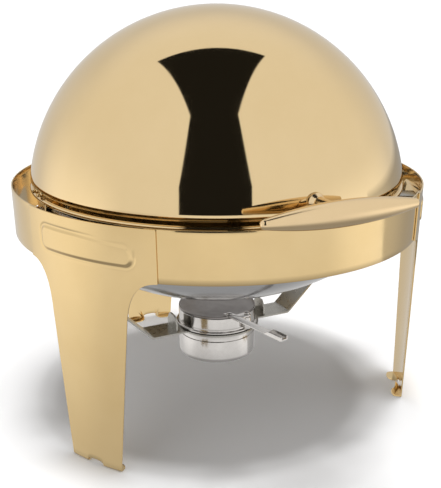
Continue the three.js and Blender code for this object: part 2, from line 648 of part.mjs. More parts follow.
/** The bar's half, from its middle to its round tip, as [radius, distance] points. */
function barOutline(count) {
  const swell = HANDLE_MIDDLE_RADIUS - HANDLE_TIP_RADIUS;
  const straight = HANDLE_HALF_LENGTH - HANDLE_TIP_RADIUS;
  const body = Array.from({ length: count + 1 }, (_, step) => {
    const along = step / count;
    return [HANDLE_TIP_RADIUS + swell * (1 - along ** 2), straight * along];
  });
  const tip = [30, 60].map((degrees) => {
    const angle = radians(degrees);
    return [HANDLE_TIP_RADIUS * Math.cos(angle), straight + HANDLE_TIP_RADIUS * Math.sin(angle)];
  });
  return [...body, ...tip, [0, HANDLE_HALF_LENGTH]];
}

function handleBar() {
  const half = barOutline(6);
  const mirrored = half.slice(1).reverse().map(([radius, distance]) => [radius, -distance]);
  const bar = alongX(turned([...mirrored, ...half], 16)).translate([0, -HANDLE_REACH, handleHeight]);
  const socket = atHandle(post(SPIGOT_RADIUS + HOLE_PLAY, STEM_INNER, STEM_OUTER + SPIGOT_LENGTH + 1));
  return bar.subtract(socket);
}

function handleStem() {
  const footEnd = LID_RADIUS + STEM_FOOT_LENGTH;
  const shaft = turned([
    [0, CREASE_RADIUS - 10],
    [STEM_FOOT_RADIUS, CREASE_RADIUS - 10],
    [STEM_FOOT_RADIUS, footEnd - STEM_FOOT_LENGTH / 2],
    [STEM_RADIUS, footEnd],
    [STEM_RADIUS, STEM_OUTER],
    [SPIGOT_RADIUS, STEM_OUTER],
    [SPIGOT_RADIUS, STEM_OUTER + SPIGOT_LENGTH],
    [0, STEM_OUTER + SPIGOT_LENGTH],
  ], 16);
  const seated = atHandle(shaft).subtract(lidCore(-GAP));
  return seated.add(atHandle(post(STEM_THREAD_RADIUS, STEM_INNER, footEnd)));
}

const WASHER_SEAT = STEM_INNER + HANDLE_NUT_THICKNESS + 1.5;

function handleWasher() {
  const disc = tube(STEM_THREAD_RADIUS + HOLE_PLAY, HANDLE_WASHER_RADIUS, WASHER_SEAT, LID_RADIUS);
  return atHandle(disc).intersect(lidCore(LID_SHEET + GAP));
}

add('handle_bar', handleBar(), GOLD_HANDLE);
add('handle_stem', handleStem(), GOLD_HANDLE);
add('handle_washer', handleWasher(), ZINC);
const handleNut = nut(HANDLE_NUT_WIDTH, HANDLE_NUT_THICKNESS, STEM_THREAD_RADIUS + HOLE_PLAY);
add('handle_nut', atHandle(handleNut.translate([0, 0, WASHER_SEAT - GAP - HANDLE_NUT_THICKNESS])), ZINC);

// ---- Fuel strap ---------------------------------------------------------------------------

/** The strap seen from the front: flat middle, rising arms and upright tabs, as a bent sheet. */
function strapOutline() {
  const tabLow = PIVOT_HEIGHT - LID_CREASE_RISE * 2;
  const top = PIVOT_HEIGHT + STRAP_TAB_HEIGHT / 2 - 2;
  const slope = Math.atan2(tabLow - STRAP_LEVEL, STRAP_TAB_OUTER - STRAP_FLAT_HALF_LENGTH);
  const lift = STRAP_SHEET * Math.tan(slope / 2);
  const turn = STRAP_SHEET * Math.tan((Math.PI / 2 - slope) / 2);
  const right = [
    [STRAP_FLAT_HALF_LENGTH, STRAP_LEVEL],
    [STRAP_TAB_OUTER, tabLow],
    [STRAP_TAB_OUTER, top],
    [STRAP_TAB_INNER, top],
    [STRAP_TAB_INNER, tabLow + turn],
    [STRAP_FLAT_HALF_LENGTH - lift, STRAP_TOP],
  ];
  const left = right.map(([x, z]) => [-x, z]).reverse();
  return new THREE.Shape([...right, ...left].map(([x, z]) => new THREE.Vector2(x, z)));
}

/** An upright ear beside the fuel holder, at +X. */
function strapEar() {
  const shape = new THREE.Shape();
  shape.moveTo(-EAR_HALF_WIDTH, STRAP_LEVEL + STRAP_SHEET / 2);
  shape.lineTo(EAR_HALF_WIDTH, STRAP_LEVEL + STRAP_SHEET / 2);
  shape.lineTo(EAR_HALF_WIDTH, STRAP_TOP + EAR_HEIGHT / 2);
  shape.lineTo(EAR_HALF_WIDTH / 2, STRAP_TOP + EAR_HEIGHT);
  shape.lineTo(-EAR_HALF_WIDTH / 2, STRAP_TOP + EAR_HEIGHT);
  shape.lineTo(-EAR_HALF_WIDTH, STRAP_TOP + EAR_HEIGHT / 2);
  shape.closePath();
  return facing(shape, EAR_REACH, EAR_REACH + STRAP_SHEET).rotate([0, 0, 90]);
}

function fuelStrap() {
  const half = STRAP_WIDTH / 2;
  const hole = COLLAR_RADIUS + GAP + HOLE_PLAY;
  let solid = facing(strapOutline(), -half, half);
  solid = solid.add(post(hole + STRAP_RING_RIM, STRAP_LEVEL, STRAP_TOP, ROUND_STEPS));
  solid = solid.subtract(post(hole, STRAP_LEVEL - 1, STRAP_TOP + 1, ROUND_STEPS));
  solid = solid.add(strapEar()).add(strapEar().mirror([1, 0, 0]));
  return solid.subtract(pivotHole);
}

add('fuel_strap', fuelStrap(), STRAP_STEEL);

// ---- Fuel holder and snuffer --------------------------------------------------------------

const pinX = PIN_REACH * Math.sin(radians(PIN_AZIMUTH));
const pinY = -PIN_REACH * Math.cos(radians(PIN_AZIMUTH));
const PIN_BOSS_BOTTOM = COLLAR_TOP - PIN_BOSS_HEIGHT;

/** The cup's wall from its rim down to the axis, moved in by an inset. */
function cupWall(inset, top) {
  const collar = COLLAR_RADIUS - inset;
  const neck = COLLAR_RADIUS - CUP_NECK_STEP - inset;
  const body = COLLAR_RADIUS - CUP_BODY_STEP - inset;
  const corner = CUP_BODY_CORNER - inset;
  return [
    [collar, top],
    [collar, COLLAR_BOTTOM + inset],
    [neck, COLLAR_BOTTOM + inset],
    [neck, CUP_NECK_BOTTOM - inset],
    [body, CUP_NECK_BOTTOM - inset],
    [body, CUP_BOTTOM + inset + corner],
    [body - corner, CUP_BOTTOM + inset],
    [0, CUP_BOTTOM + inset],
  ];
}

function fuelCup() {
  const beadLow = STRAP_TOP + GAP;
  const beadTop = beadLow + 2 * CUP_SHEET;
  const [outerRim, ...outerWall] = cupWall(0, COLLAR_TOP);
  let solid = turned([
    ...cupWall(CUP_SHEET, COLLAR_TOP).reverse(),
    outerRim,
    [COLLAR_RADIUS, beadTop],
    [COLLAR_RADIUS + COLLAR_BEAD_REACH, beadTop],
    [COLLAR_RADIUS + COLLAR_BEAD_REACH, beadLow],
    [COLLAR_RADIUS, beadLow],
    ...outerWall,
  ].reverse());
  const lug = post(PIN_BOSS_RADIUS, PIN_BOSS_BOTTOM, COLLAR_TOP);
  const seat = post(PIN_HEAD_RADIUS, COLLAR_TOP - 1, LEVER_BOTTOM - GAP);
  const drill = post(PIN_RADIUS + HOLE_PLAY, PIN_BOSS_BOTTOM + 2, LEVER_BOTTOM);
  solid = solid.add(lug.add(seat).translate([pinX, pinY, 0]));
  return solid.subtract(drill.translate([pinX, pinY, 0]));
}

function snufferPin() {
  const headBottom = LEVER_TOP + GAP;
  const shank = post(PIN_RADIUS, PIN_BOSS_BOTTOM + 2 + GAP, headBottom + 1);
  const head = post(PIN_HEAD_RADIUS, headBottom, headBottom + PIN_HEAD_THICKNESS);
  return shank.add(head).translate([pinX, pinY, 0]);
}

/** Puts a solid made for a lever along -Y, with the pin at the origin, in its place on the pin. */
const onLever = (solid) => atAzimuth(solid, LEVER_AZIMUTH).translate([pinX, pinY, 0]);

/** The lever's strip and its side lug as a flat plate, grown by a play. */
function leverPlate(play, bottom, top) {
  const half = LEVER_WIDTH / 2 + play;
  const lugHalf = LEVER_LUG_HALF_WIDTH + play;
  const low = -LEVER_OUTER_REACH - play;
  const strip = block([-LEVER_OFFSET - half, low, bottom], [-LEVER_OFFSET + half, LEVER_INNER_REACH + play, top]);
  const lug = block([-LEVER_OFFSET, -lugHalf, bottom], [0, lugHalf, top]);
  return strip.add(lug).add(post(lugHalf / Math.cos(Math.PI / 16), bottom, top, 16));
}

/** A post at the rivet that joins the lever to the snuffer lid. */
const atRivet = (solid) => onLever(solid.translate([-LEVER_OFFSET, LEVER_RIVET_REACH, 0]));

function snufferLid() {
  const lipTop = SNUFFER_BOTTOM + SNUFFER_LIP_HEIGHT;
  const disc = turned([
    [0, SNUFFER_BOTTOM],
    [COLLAR_RADIUS, SNUFFER_BOTTOM],
    [COLLAR_RADIUS, lipTop],
    [COLLAR_RADIUS - SNUFFER_LIP_WIDTH, lipTop],
    [COLLAR_RADIUS - SNUFFER_LIP_WIDTH, SNUFFER_TOP],
    [0, SNUFFER_TOP],
  ]);
  const rivetHole = post(LEVER_RIVET_RADIUS + HOLE_PLAY, SNUFFER_BOTTOM - 1, lipTop);
  return disc.subtract(onLever(leverPlate(GAP, SNUFFER_TOP, lipTop + 1))).subtract(atRivet(rivetHole));
}

function snufferLever() {
  const half = LEVER_WIDTH / 2;
  const gripInner = LEVER_OUTER_REACH - LEVER_GRIP_LENGTH;
  const gripTop = LEVER_BOTTOM + LEVER_GRIP_HEIGHT;
  const grip = block(
    [-LEVER_OFFSET - half, -LEVER_OUTER_REACH, LEVER_BOTTOM],
    [-LEVER_OFFSET + half, -gripInner, gripTop],
  );
  const channel = block(
    [-LEVER_OFFSET - half + LEVER_SHEET, -LEVER_OUTER_REACH - 1, LEVER_TOP],
    [-LEVER_OFFSET + half - LEVER_SHEET, -gripInner + 1, gripTop + 1],
  );
  const plate = leverPlate(0, LEVER_BOTTOM, LEVER_TOP).add(grip).subtract(channel);
  const rivetHole = post(LEVER_RIVET_RADIUS + HOLE_PLAY, LEVER_BOTTOM - 1, LEVER_TOP + 1);
  const pinHole = post(PIN_RADIUS + HOLE_PLAY, LEVER_BOTTOM - 1, LEVER_TOP + 1);
  return onLever(plate.subtract(pinHole)).subtract(atRivet(rivetHole));
}

function leverRivet() {
  const shank = post(LEVER_RIVET_RADIUS, SNUFFER_BOTTOM + 0.1, LEVER_TOP + 1);
  const head = post(RIVET_HEAD_RADIUS, LEVER_TOP + GAP, LEVER_TOP + GAP + RIVET_HEAD_THICKNESS);
  return atRivet(shank.add(head));
}

add('fuel_cup', fuelCup(), CHROME);
add('snuffer_pin', snufferPin(), CHROME);
add('snuffer_lid', snufferLid(), SNUFFER_STEEL);
add('snuffer_lever', snufferLever(), CHROME);
add('lever_rivet', leverRivet(), CHROME);

// The handle reaches out at one side only, so the middle of the box lies in front of the pans' axis.
const box = new THREE.Box3().setFromObject(object);
object.position.y = -(box.min.y + box.max.y) / 2;

export default object;
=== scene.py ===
"""Round roll top chafer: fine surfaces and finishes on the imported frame, and its studio."""

import json
import logging
import math
from dataclasses import dataclass, field
from enum import Enum
from typing import Callable, Iterable, Sequence

import bmesh
import bpy
from mathutils import Matrix, Vector


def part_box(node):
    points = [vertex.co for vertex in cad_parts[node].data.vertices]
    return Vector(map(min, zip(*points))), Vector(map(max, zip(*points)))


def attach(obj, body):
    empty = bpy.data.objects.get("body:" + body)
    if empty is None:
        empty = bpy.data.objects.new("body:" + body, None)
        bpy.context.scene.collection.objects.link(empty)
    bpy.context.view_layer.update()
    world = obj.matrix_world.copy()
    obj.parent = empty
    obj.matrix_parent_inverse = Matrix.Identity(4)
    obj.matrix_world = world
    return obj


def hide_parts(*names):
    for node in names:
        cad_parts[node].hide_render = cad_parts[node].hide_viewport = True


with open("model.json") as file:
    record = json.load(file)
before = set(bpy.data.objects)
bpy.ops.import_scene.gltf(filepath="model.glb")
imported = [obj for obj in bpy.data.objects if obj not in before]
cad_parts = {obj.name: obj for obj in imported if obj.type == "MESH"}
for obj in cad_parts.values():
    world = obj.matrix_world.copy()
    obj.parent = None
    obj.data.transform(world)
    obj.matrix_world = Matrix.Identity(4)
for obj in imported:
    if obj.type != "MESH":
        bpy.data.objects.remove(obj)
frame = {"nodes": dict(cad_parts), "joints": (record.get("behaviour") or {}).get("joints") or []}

LOG = logging.getLogger("chafer")
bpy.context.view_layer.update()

Point2 = tuple[float, float]
Point3 = tuple[float, float, float]


# ---------------------------------------------------------------- places in the frame


@dataclass(frozen=True)
class Places:
    """Where the frame puts the chafer's main parts, in metres."""

    axis_y: float
    rim_top: float
    band_bottom: float
    panel_radius: float
    bead_radius: float
    lid_top: float
    pivot_z: float
    hem_bottom: float
    pin: Point2

    @classmethod
    def from_frame(cls) -> "Places":
        """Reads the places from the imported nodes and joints.

        Returns:
            The places that every sub-assembly builds from.
        """
        ring_low, ring_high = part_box("pan_support_ring")
        band_low, band_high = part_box("band_rear_right")
        lid_low, lid_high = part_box("lid_dome")
        joints = {joint["name"]: joint for joint in frame["joints"]}
        pin = joints["snuffer_swivel"]["pos_m"]
        return cls(
            axis_y=(ring_low[1] + ring_high[1]) / 2,
            rim_top=band_high[2],
            band_bottom=band_low[2],
            panel_radius=band_high[0],
            bead_radius=lid_high[0],
            lid_top=lid_high[2],
            pivot_z=joints["lid_roll"]["pos_m"][2],
            hem_bottom=lid_low[2],
            pin=(pin[0], pin[1]),
        )


PLACES = Places.from_frame()


# ---------------------------------------------------------------- finishes


class NodeSheet:
    """A small helper that lays out one shader tree."""

    def __init__(self, material: bpy.types.Material) -> None:
        """Empties a material's tree and gives it an output.

        Args:
            material: The material whose tree is laid out.
        """
        material.use_nodes = True
        self.tree = material.node_tree
        self.tree.nodes.clear()
        self.output = self.add("ShaderNodeOutputMaterial")

    def add(self, kind: str, **values: object) -> bpy.types.Node:
        """Adds a node and sets its properties or unlinked inputs.

        Args:
            kind: The node's type name.
            values: Properties of the node, or inputs with underscores for spaces.

        Returns:
            The new node.
        """
        node = self.tree.nodes.new(kind)
        for name, value in values.items():
            label = name.replace("_", " ")
            if label in node.inputs:
                node.inputs[label].default_value = value
            else:
                setattr(node, name, value)
        return node

    def link(self, source: bpy.types.NodeSocket, target: bpy.types.NodeSocket) -> None:
        """Joins two sockets."""
        self.tree.links.new(source, target)

    def noise(self, scale: Point3, detail: float = 3.0, roughness: float = 0.5) -> bpy.types.NodeSocket:
        """A noise over Object coordinates, stretched by a scale for each axis.

        Args:
            scale: Cells per metre along X, Y and Z.
            detail: Octaves of the noise.
            roughness: How strong the finer octaves are.

        Returns:
            The noise's value socket.
        """
        place = self.add("ShaderNodeTexCoord")
        mapping = self.add("ShaderNodeMapping", Scale=scale)
        noise = self.add("ShaderNodeTexNoise", Scale=1.0, Detail=detail, Roughness=roughness)
        self.link(place.outputs["Object"], mapping.inputs["Vector"])
        self.link(mapping.outputs["Vector"], noise.inputs["Vector"])
        return noise.outputs["Fac"]

    def ranged(
        self, value: bpy.types.NodeSocket, low: float, high: float, contrast: float = 0.18
    ) -> bpy.types.NodeSocket:
        """Maps a noise around its middle onto a range.

        Args:
            value: The noise.
            low: Result at the noise's dark end.
            high: Result at its bright end.
            contrast: Half the width of the noise's used range.

        Returns:
            The mapped value socket.
        """
        node = self.add("ShaderNodeMapRange", clamp=True)
        span = (("From Min", 0.5 - contrast), ("From Max", 0.5 + contrast))
        for name, number in (*span, ("To Min", low), ("To Max", high)):
            node.inputs[name].default_value = number
        self.link(value, node.inputs["Value"])
        return node.outputs["Result"]

    def blend(self, value: bpy.types.NodeSocket, first: Point3, second: Point3) -> bpy.types.NodeSocket:
        """Blends two colours by a value.

        Args:
            value: 0 for the first colour, 1 for the second.
            first: Linear RGB.
            second: Linear RGB.

        Returns:
            The colour socket.
        """
        node = self.add("ShaderNodeMix", data_type="RGBA")
        node.inputs["A"].default_value = (0, 0, 0, 1)
        colours = [socket for socket in node.inputs if socket.type == "RGBA"]
        colours[0].default_value = (*first, 1.0)
        colours[1].default_value = (*second, 1.0)
        self.link(value, node.inputs[0])
        return next(socket for socket in node.outputs if socket.type == "RGBA")

    def bump(self, heights: Sequence[tuple[bpy.types.NodeSocket, float]]) -> bpy.types.NodeSocket:
        """Stacks bump maps.

        Args:
            heights: Pairs of a height socket and its depth in metres.

        Returns:
            The normal socket.
        """
        normal = None
        for height, depth in heights:
            node = self.add("ShaderNodeBump", Strength=1.0, Distance=depth)
            self.link(height, node.inputs["Height"])
            if normal is not None:
                self.link(normal, node.inputs["Normal"])
            normal = node.outputs["Normal"]
        return normal


@dataclass(frozen=True)
class Metal:
    """A metal whose colour, gloss and surface vary as a real worked sheet's do."""

    name: str
    slot: str
    tone: Point3
    shade: Point3
    gloss: tuple[float, float]
    haze_scale: float = 9.0
    grain_scale: Point3 = (30.0, 30.0, 900.0)
    grain_depth: float = 2e-6
    wave_scale: float = 5.0
    wave_depth: float = 1e-4

    def material(self) -> bpy.types.Material:
        """Returns the finish's material, making it the first time it is asked for.

        Returns:
            The material.
        """
        known = bpy.data.materials.get(self.name)
        if known:
            return known
        made = bpy.data.materials.new(self.name)
        sheet = NodeSheet(made)
        metal = sheet.add("ShaderNodeBsdfPrincipled", Metallic=1.0)
        haze = sheet.noise((self.haze_scale,) * 3, 5.0, 0.6)
        smudge = sheet.noise((self.haze_scale * 7,) * 3, 4.0, 0.65)
        grain = sheet.noise(self.grain_scale, 2.0, 0.5)
        wave = sheet.noise((self.wave_scale,) * 3, 1.0, 0.4)
        colour = sheet.blend(sheet.ranged(haze, 0.0, 1.0), self.tone, self.shade)
        sheet.link(colour, metal.inputs["Base Color"])
        sheet.link(sheet.ranged(smudge, *self.gloss), metal.inputs["Roughness"])
        normal = sheet.bump([(wave, self.wave_depth), (grain, self.grain_depth)])
        sheet.link(normal, metal.inputs["Normal"])
        sheet.link(metal.outputs["BSDF"], sheet.output.inputs["Surface"])
        return made


@dataclass(frozen=True)
class Moulding:
    """A moulded plastic or rubber with a fine matt grain."""

    name: str
    slot: str
    tone: Point3
    shade: Point3
    gloss: tuple[float, float]
    grain_scale: float = 1500.0
    grain_depth: float = 3e-5

    def material(self) -> bpy.types.Material:
        """Returns the finish's material, making it the first time it is asked for.

        Returns:
            The material.
        """
        known = bpy.data.materials.get(self.name)
        if known:
            return known
        made = bpy.data.materials.new(self.name)
        sheet = NodeSheet(made)
        body = sheet.add("ShaderNodeBsdfPrincipled")
        mottle = sheet.noise((60.0,) * 3, 4.0, 0.6)
        grain = sheet.noise((self.grain_scale,) * 3, 2.0, 0.5)
        colour = sheet.blend(sheet.ranged(mottle, 0.0, 1.0), self.tone, self.shade)
        sheet.link(colour, body.inputs["Base Color"])
        sheet.link(sheet.ranged(grain, *self.gloss), body.inputs["Roughness"])
        sheet.link(sheet.bump([(grain, self.grain_depth)]), body.inputs["Normal"])
        sheet.link(body.outputs["BSDF"], sheet.output.inputs["Surface"])
        return made


LID_GOLD = Metal(
    "polished_gold_plate", "gold_mirror", (0.80, 0.62, 0.36), (0.77, 0.59, 0.33), (0.03, 0.06),
    grain_scale=(140.0, 140.0, 140.0), grain_depth=4e-7, wave_scale=4.0, wave_depth=1.2e-4,
)
FRAME_GOLD = Metal(
    "brushed_gold_plate", "gold_mirror", (0.775, 0.585, 0.31), (0.735, 0.545, 0.275), (0.075, 0.14),
    grain_scale=(9.0, 9.0, 700.0), grain_depth=2.5e-6, wave_scale=7.0, wave_depth=1.6e-4,
)
HANDLE_GOLD = Metal(
    "satin_gold_plate", "gold_satin", (0.82, 0.63, 0.38), (0.78, 0.585, 0.34), (0.15, 0.22),
    grain_scale=(900.0, 40.0, 40.0), grain_depth=2e-6, wave_scale=12.0, wave_depth=3e-5,
)
PAN_STEEL = Metal(
    "spun_pan_steel", "pan_steel", (0.80, 0.80, 0.81), (0.74, 0.745, 0.76), (0.10, 0.17),
    grain_scale=(60.0, 60.0, 500.0), grain_depth=1.5e-6, wave_scale=6.0, wave_depth=1e-4,
)
BURNER_STEEL = Metal(
    "bright_burner_steel", "chrome", (0.70, 0.68, 0.66), (0.60, 0.58, 0.56), (0.12, 0.22),
    haze_scale=25.0, grain_scale=(60.0, 60.0, 1400.0), grain_depth=2e-6, wave_scale=30.0, wave_depth=8e-5,
)
STRIP_STEEL = Metal(
    "mill_strip_steel", "strap_steel", (0.43, 0.42, 0.39), (0.35, 0.34, 0.31), (0.24, 0.36),
    haze_scale=22.0, grain_scale=(20.0, 1300.0, 300.0), grain_depth=5e-6, wave_scale=20.0, wave_depth=8e-5,
)
SNUFFER_STEEL = Metal(
    "dull_snuffer_steel", "snuffer_steel", (0.36, 0.335, 0.325), (0.29, 0.27, 0.26), (0.34, 0.46),
    haze_scale=30.0, grain_scale=(1100.0, 60.0, 60.0), grain_depth=4e-6, wave_scale=25.0, wave_depth=6e-5,
)
ZINC_PLATE = Metal(
    "zinc_plate", "zinc", (0.52, 0.54, 0.56), (0.42, 0.44, 0.45), (0.28, 0.42),
    haze_scale=120.0, grain_scale=(400.0, 400.0, 400.0), grain_depth=4e-6, wave_scale=90.0, wave_depth=4e-5,
)
NYLON = Moulding("natural_nylon", "nylon", (0.80, 0.78, 0.72), (0.72, 0.70, 0.63), (0.45, 0.6))
RUBBER = Moulding("black_rubber", "rubber", (0.022, 0.02, 0.018), (0.035, 0.032, 0.03), (0.6, 0.8))

Finish = Metal | Moulding


# ---------------------------------------------------------------- meshes


def rounded_profile(
    corners: Sequence[tuple[float, float, float]], steps: int = 4, closed: bool = False
) -> list[Point2]:
    """Rounds the corners of an outline.

    Args:
        corners: Points as (x, y, fillet radius).
        steps: Segments in each fillet.
        closed: Whether the last point joins the first.

    Returns:
        The outline's points.
    """
    points: list[Point2] = []
    count = len(corners)
    for place, (x, y, radius) in enumerate(corners):
        is_end = not closed and place in (0, count - 1)
        if radius <= 0 or is_end:
            points.append((x, y))
            continue
        here = Vector((x, y))
        before = Vector(corners[place - 1][:2]) - here
        after = Vector(corners[(place + 1) % count][:2]) - here
        half = before.angle(after) / 2
        reach = min(radius / math.tan(half), before.length * 0.49, after.length * 0.49)
        start = here + before.normalized() * reach
        end = here + after.normalized() * reach
        for step in range(steps + 1):
            share = step / steps
            curve = start * (1 - share) ** 2 + here * 2 * share * (1 - share) + end * share**2
            points.append((curve.x, curve.y))
    return points


def arc(centre: Point2, radius: float, start: float, end: float, steps: int) -> list[Point2]:
    """Points of an arc, both ends included; angles in degrees from +x towards +y."""
    angles = [math.radians(start + (end - start) * step / steps) for step in range(steps + 1)]
    return [(centre[0] + radius * math.cos(angle), centre[1] + radius * math.sin(angle)) for angle in angles]


def finished_mesh(name: str, mesh: bmesh.types.BMesh, crease: float = 32.0) -> bpy.types.Object:
    """Turns a bmesh into a smooth-shaded object whose place is in its mesh.

    Args:
        name: The object's name.
        mesh: The bmesh, which is freed.
        crease: Edges sharper than this many degrees stay sharp.

    Returns:
        The object, linked to the scene.
    """
    bmesh.ops.remove_doubles(mesh, verts=mesh.verts, dist=2e-6)
    bmesh.ops.recalc_face_normals(mesh, faces=mesh.faces)
    data = bpy.data.meshes.new(name)
    mesh.to_mesh(data)
    mesh.free()
    data.polygons.foreach_set("use_smooth", [True] * len(data.polygons))
    data.set_sharp_from_angle(angle=math.radians(crease))
    piece = bpy.data.objects.new(name, data)
    bpy.context.scene.collection.objects.link(piece)
    return piece


def revolved(outline: Sequence[Point2], segments: int = 128, closed: bool = False) -> bmesh.types.BMesh:
    """Turns an outline of (radius, height) points about +Z.

    Args:
        outline: Points in order; one on the axis becomes a pole.
        segments: Facets around.
        closed: Whether the last point joins the first.

    Returns:
        The surface, about the origin.
    """
    mesh = bmesh.new()
    rings: list[list[bmesh.types.BMVert]] = []
    for radius, height in outline:
        if radius < 1e-7:
            rings.append([mesh.verts.new((0.0, 0.0, height))])
            continue
        turns = [2 * math.pi * step / segments for step in range(segments)]
        places = [(radius * math.sin(turn), -radius * math.cos(turn), height) for turn in turns]
        rings.append([mesh.verts.new(place) for place in places])
    pairs = list(zip(rings, rings[1:]))
    if closed:
        pairs.append((rings[-1], rings[0]))
    for first, second in pairs:
        for step in range(segments):
            after = (step + 1) % segments
            corners = [first[step % len(first)], first[after % len(first)]]
            corners += [second[after % len(second)], second[step % len(second)]]
            unique = list(dict.fromkeys(corners))
            if len(unique) > 2:
                mesh.faces.new(unique)
    return mesh


def gridded(rows: Sequence[Sequence[Vector]]) -> bmesh.types.BMesh:
    """A surface through rows of points, all rows being as long as each other.

    Args:
        rows: Rows of points, each as long as the others.

    Returns:
        The surface as a bmesh.
    """
    mesh = bmesh.new()
    lattice = [[mesh.verts.new(point) for point in row] for row in rows]
    for row, following in zip(lattice, lattice[1:]):
        for place in range(len(row) - 1):
            mesh.faces.new((row[place], row[place + 1], following[place + 1], following[place]))
    return mesh


def lofted(loops: Sequence[Sequence[Vector]]) -> bmesh.types.BMesh:
    """A closed body through equal closed loops, with its two ends capped.

    Args:
        loops: Closed loops with equal numbers of points, in order.

    Returns:
        The closed body as a bmesh.
    """
    mesh = bmesh.new()
    rings = [[mesh.verts.new(point) for point in loop] for loop in loops]
    for ring, following in zip(rings, rings[1:]):
        for place in range(len(ring)):
            after = (place + 1) % len(ring)
            mesh.faces.new((ring[place], ring[after], following[after], following[place]))
    mesh.faces.new(rings[0])
    mesh.faces.new(rings[-1])
    return mesh


def moved(mesh: bmesh.types.BMesh, matrix: Matrix) -> bmesh.types.BMesh:
    """Moves a bmesh by a matrix and returns it."""
    bmesh.ops.transform(mesh, matrix=matrix, verts=mesh.verts)
    return mesh


def applied(piece: bpy.types.Object) -> bpy.types.Object:
    """Bakes an object's modifiers into its mesh and removes them.

    Args:
        piece: The object, with its modifiers live.

    Returns:
        The same object as a plain mesh.
    """
    depsgraph = bpy.context.evaluated_depsgraph_get()
    depsgraph.update()
    mesh = bpy.data.meshes.new_from_object(piece.evaluated_get(depsgraph))
    piece.modifiers.clear()
    piece.data = mesh
    return piece


def thickened(piece: bpy.types.Object, sheet: float, edge: float, crease: float = 32.0) -> bpy.types.Object:
    """Gives a surface the thickness of its sheet, behind its outer face, and breaks its edges.

    Args:
        piece: The surface, with its faces pointing out.
        sheet: Sheet thickness in metres.
        edge: Width of the broken edge in metres.
        crease: Edges sharper than this many degrees stay sharp.

    Returns:
        The same object with its modifiers applied.
    """
    solidify = piece.modifiers.new("sheet", "SOLIDIFY")
    solidify.thickness = sheet
    solidify.offset = -1.0
    solidify.use_even_offset = True
    broken_edge(piece, edge)
    applied(piece)
    piece.data.polygons.foreach_set("use_smooth", [True] * len(piece.data.polygons))
    piece.data.set_sharp_from_angle(angle=math.radians(crease))
    return piece


def broken_edge(piece: bpy.types.Object, edge: float, segments: int = 2) -> None:
    """Adds a bevel on the sharp edges of a piece.

    Args:
        piece: The object to bevel.
        edge: Width of the bevel in metres.
        segments: Faces across the bevel.
    """
    bevel = piece.modifiers.new("edge", "BEVEL")
    bevel.width = edge
    bevel.segments = segments
    bevel.limit_method = "ANGLE"
    bevel.angle_limit = math.radians(40)
    bevel.harden_normals = False


def cut(piece: bpy.types.Object, tool: bpy.types.Object, operation: str) -> None:
    """Joins or cuts one piece by another with an exact boolean, and removes the tool.

    Args:
        piece: The object that is kept.
        tool: The object that joins or cuts it, which is deleted.
        operation: UNION or DIFFERENCE.
    """
    boolean = piece.modifiers.new("cut", "BOOLEAN")
    boolean.operation = operation
    boolean.solver = "EXACT"
    boolean.object = tool
    applied(piece)
    bpy.data.objects.remove(tool, do_unlink=True)


# ---------------------------------------------------------------- sub-assemblies


class Body(Enum):
    """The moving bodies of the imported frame."""

    FRAME = "frame"
    LID = "lid"
    SNUFFER = "snuffer"


def dress(piece: bpy.types.Object, finish: Finish, body: Body, *nodes: str) -> bpy.types.Object:
    """Gives a finished piece its material, its body and the nodes it stands for.

    Args:
        piece: The piece, in place.
        finish: Its finish.
        body: The body that it moves with.
        nodes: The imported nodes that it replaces.

    Returns:
        The piece.
    """
    piece.data.materials.clear()
    piece.data.materials.append(finish.material())
    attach(piece, body.value)
    if nodes:
        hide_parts(*nodes)
    LOG.info("%s: %d faces, stands for %s", piece.name, len(piece.data.polygons), ", ".join(nodes) or "itself")
    return piece


def turn_about_axis(azimuth: float) -> Matrix:
    """Moves a piece made at the handle side about the origin to an azimuth about the pans' axis."""
    return Matrix.Translation((0.0, PLACES.axis_y, 0.0)) @ Matrix.Rotation(math.radians(azimuth), 4, "Z")


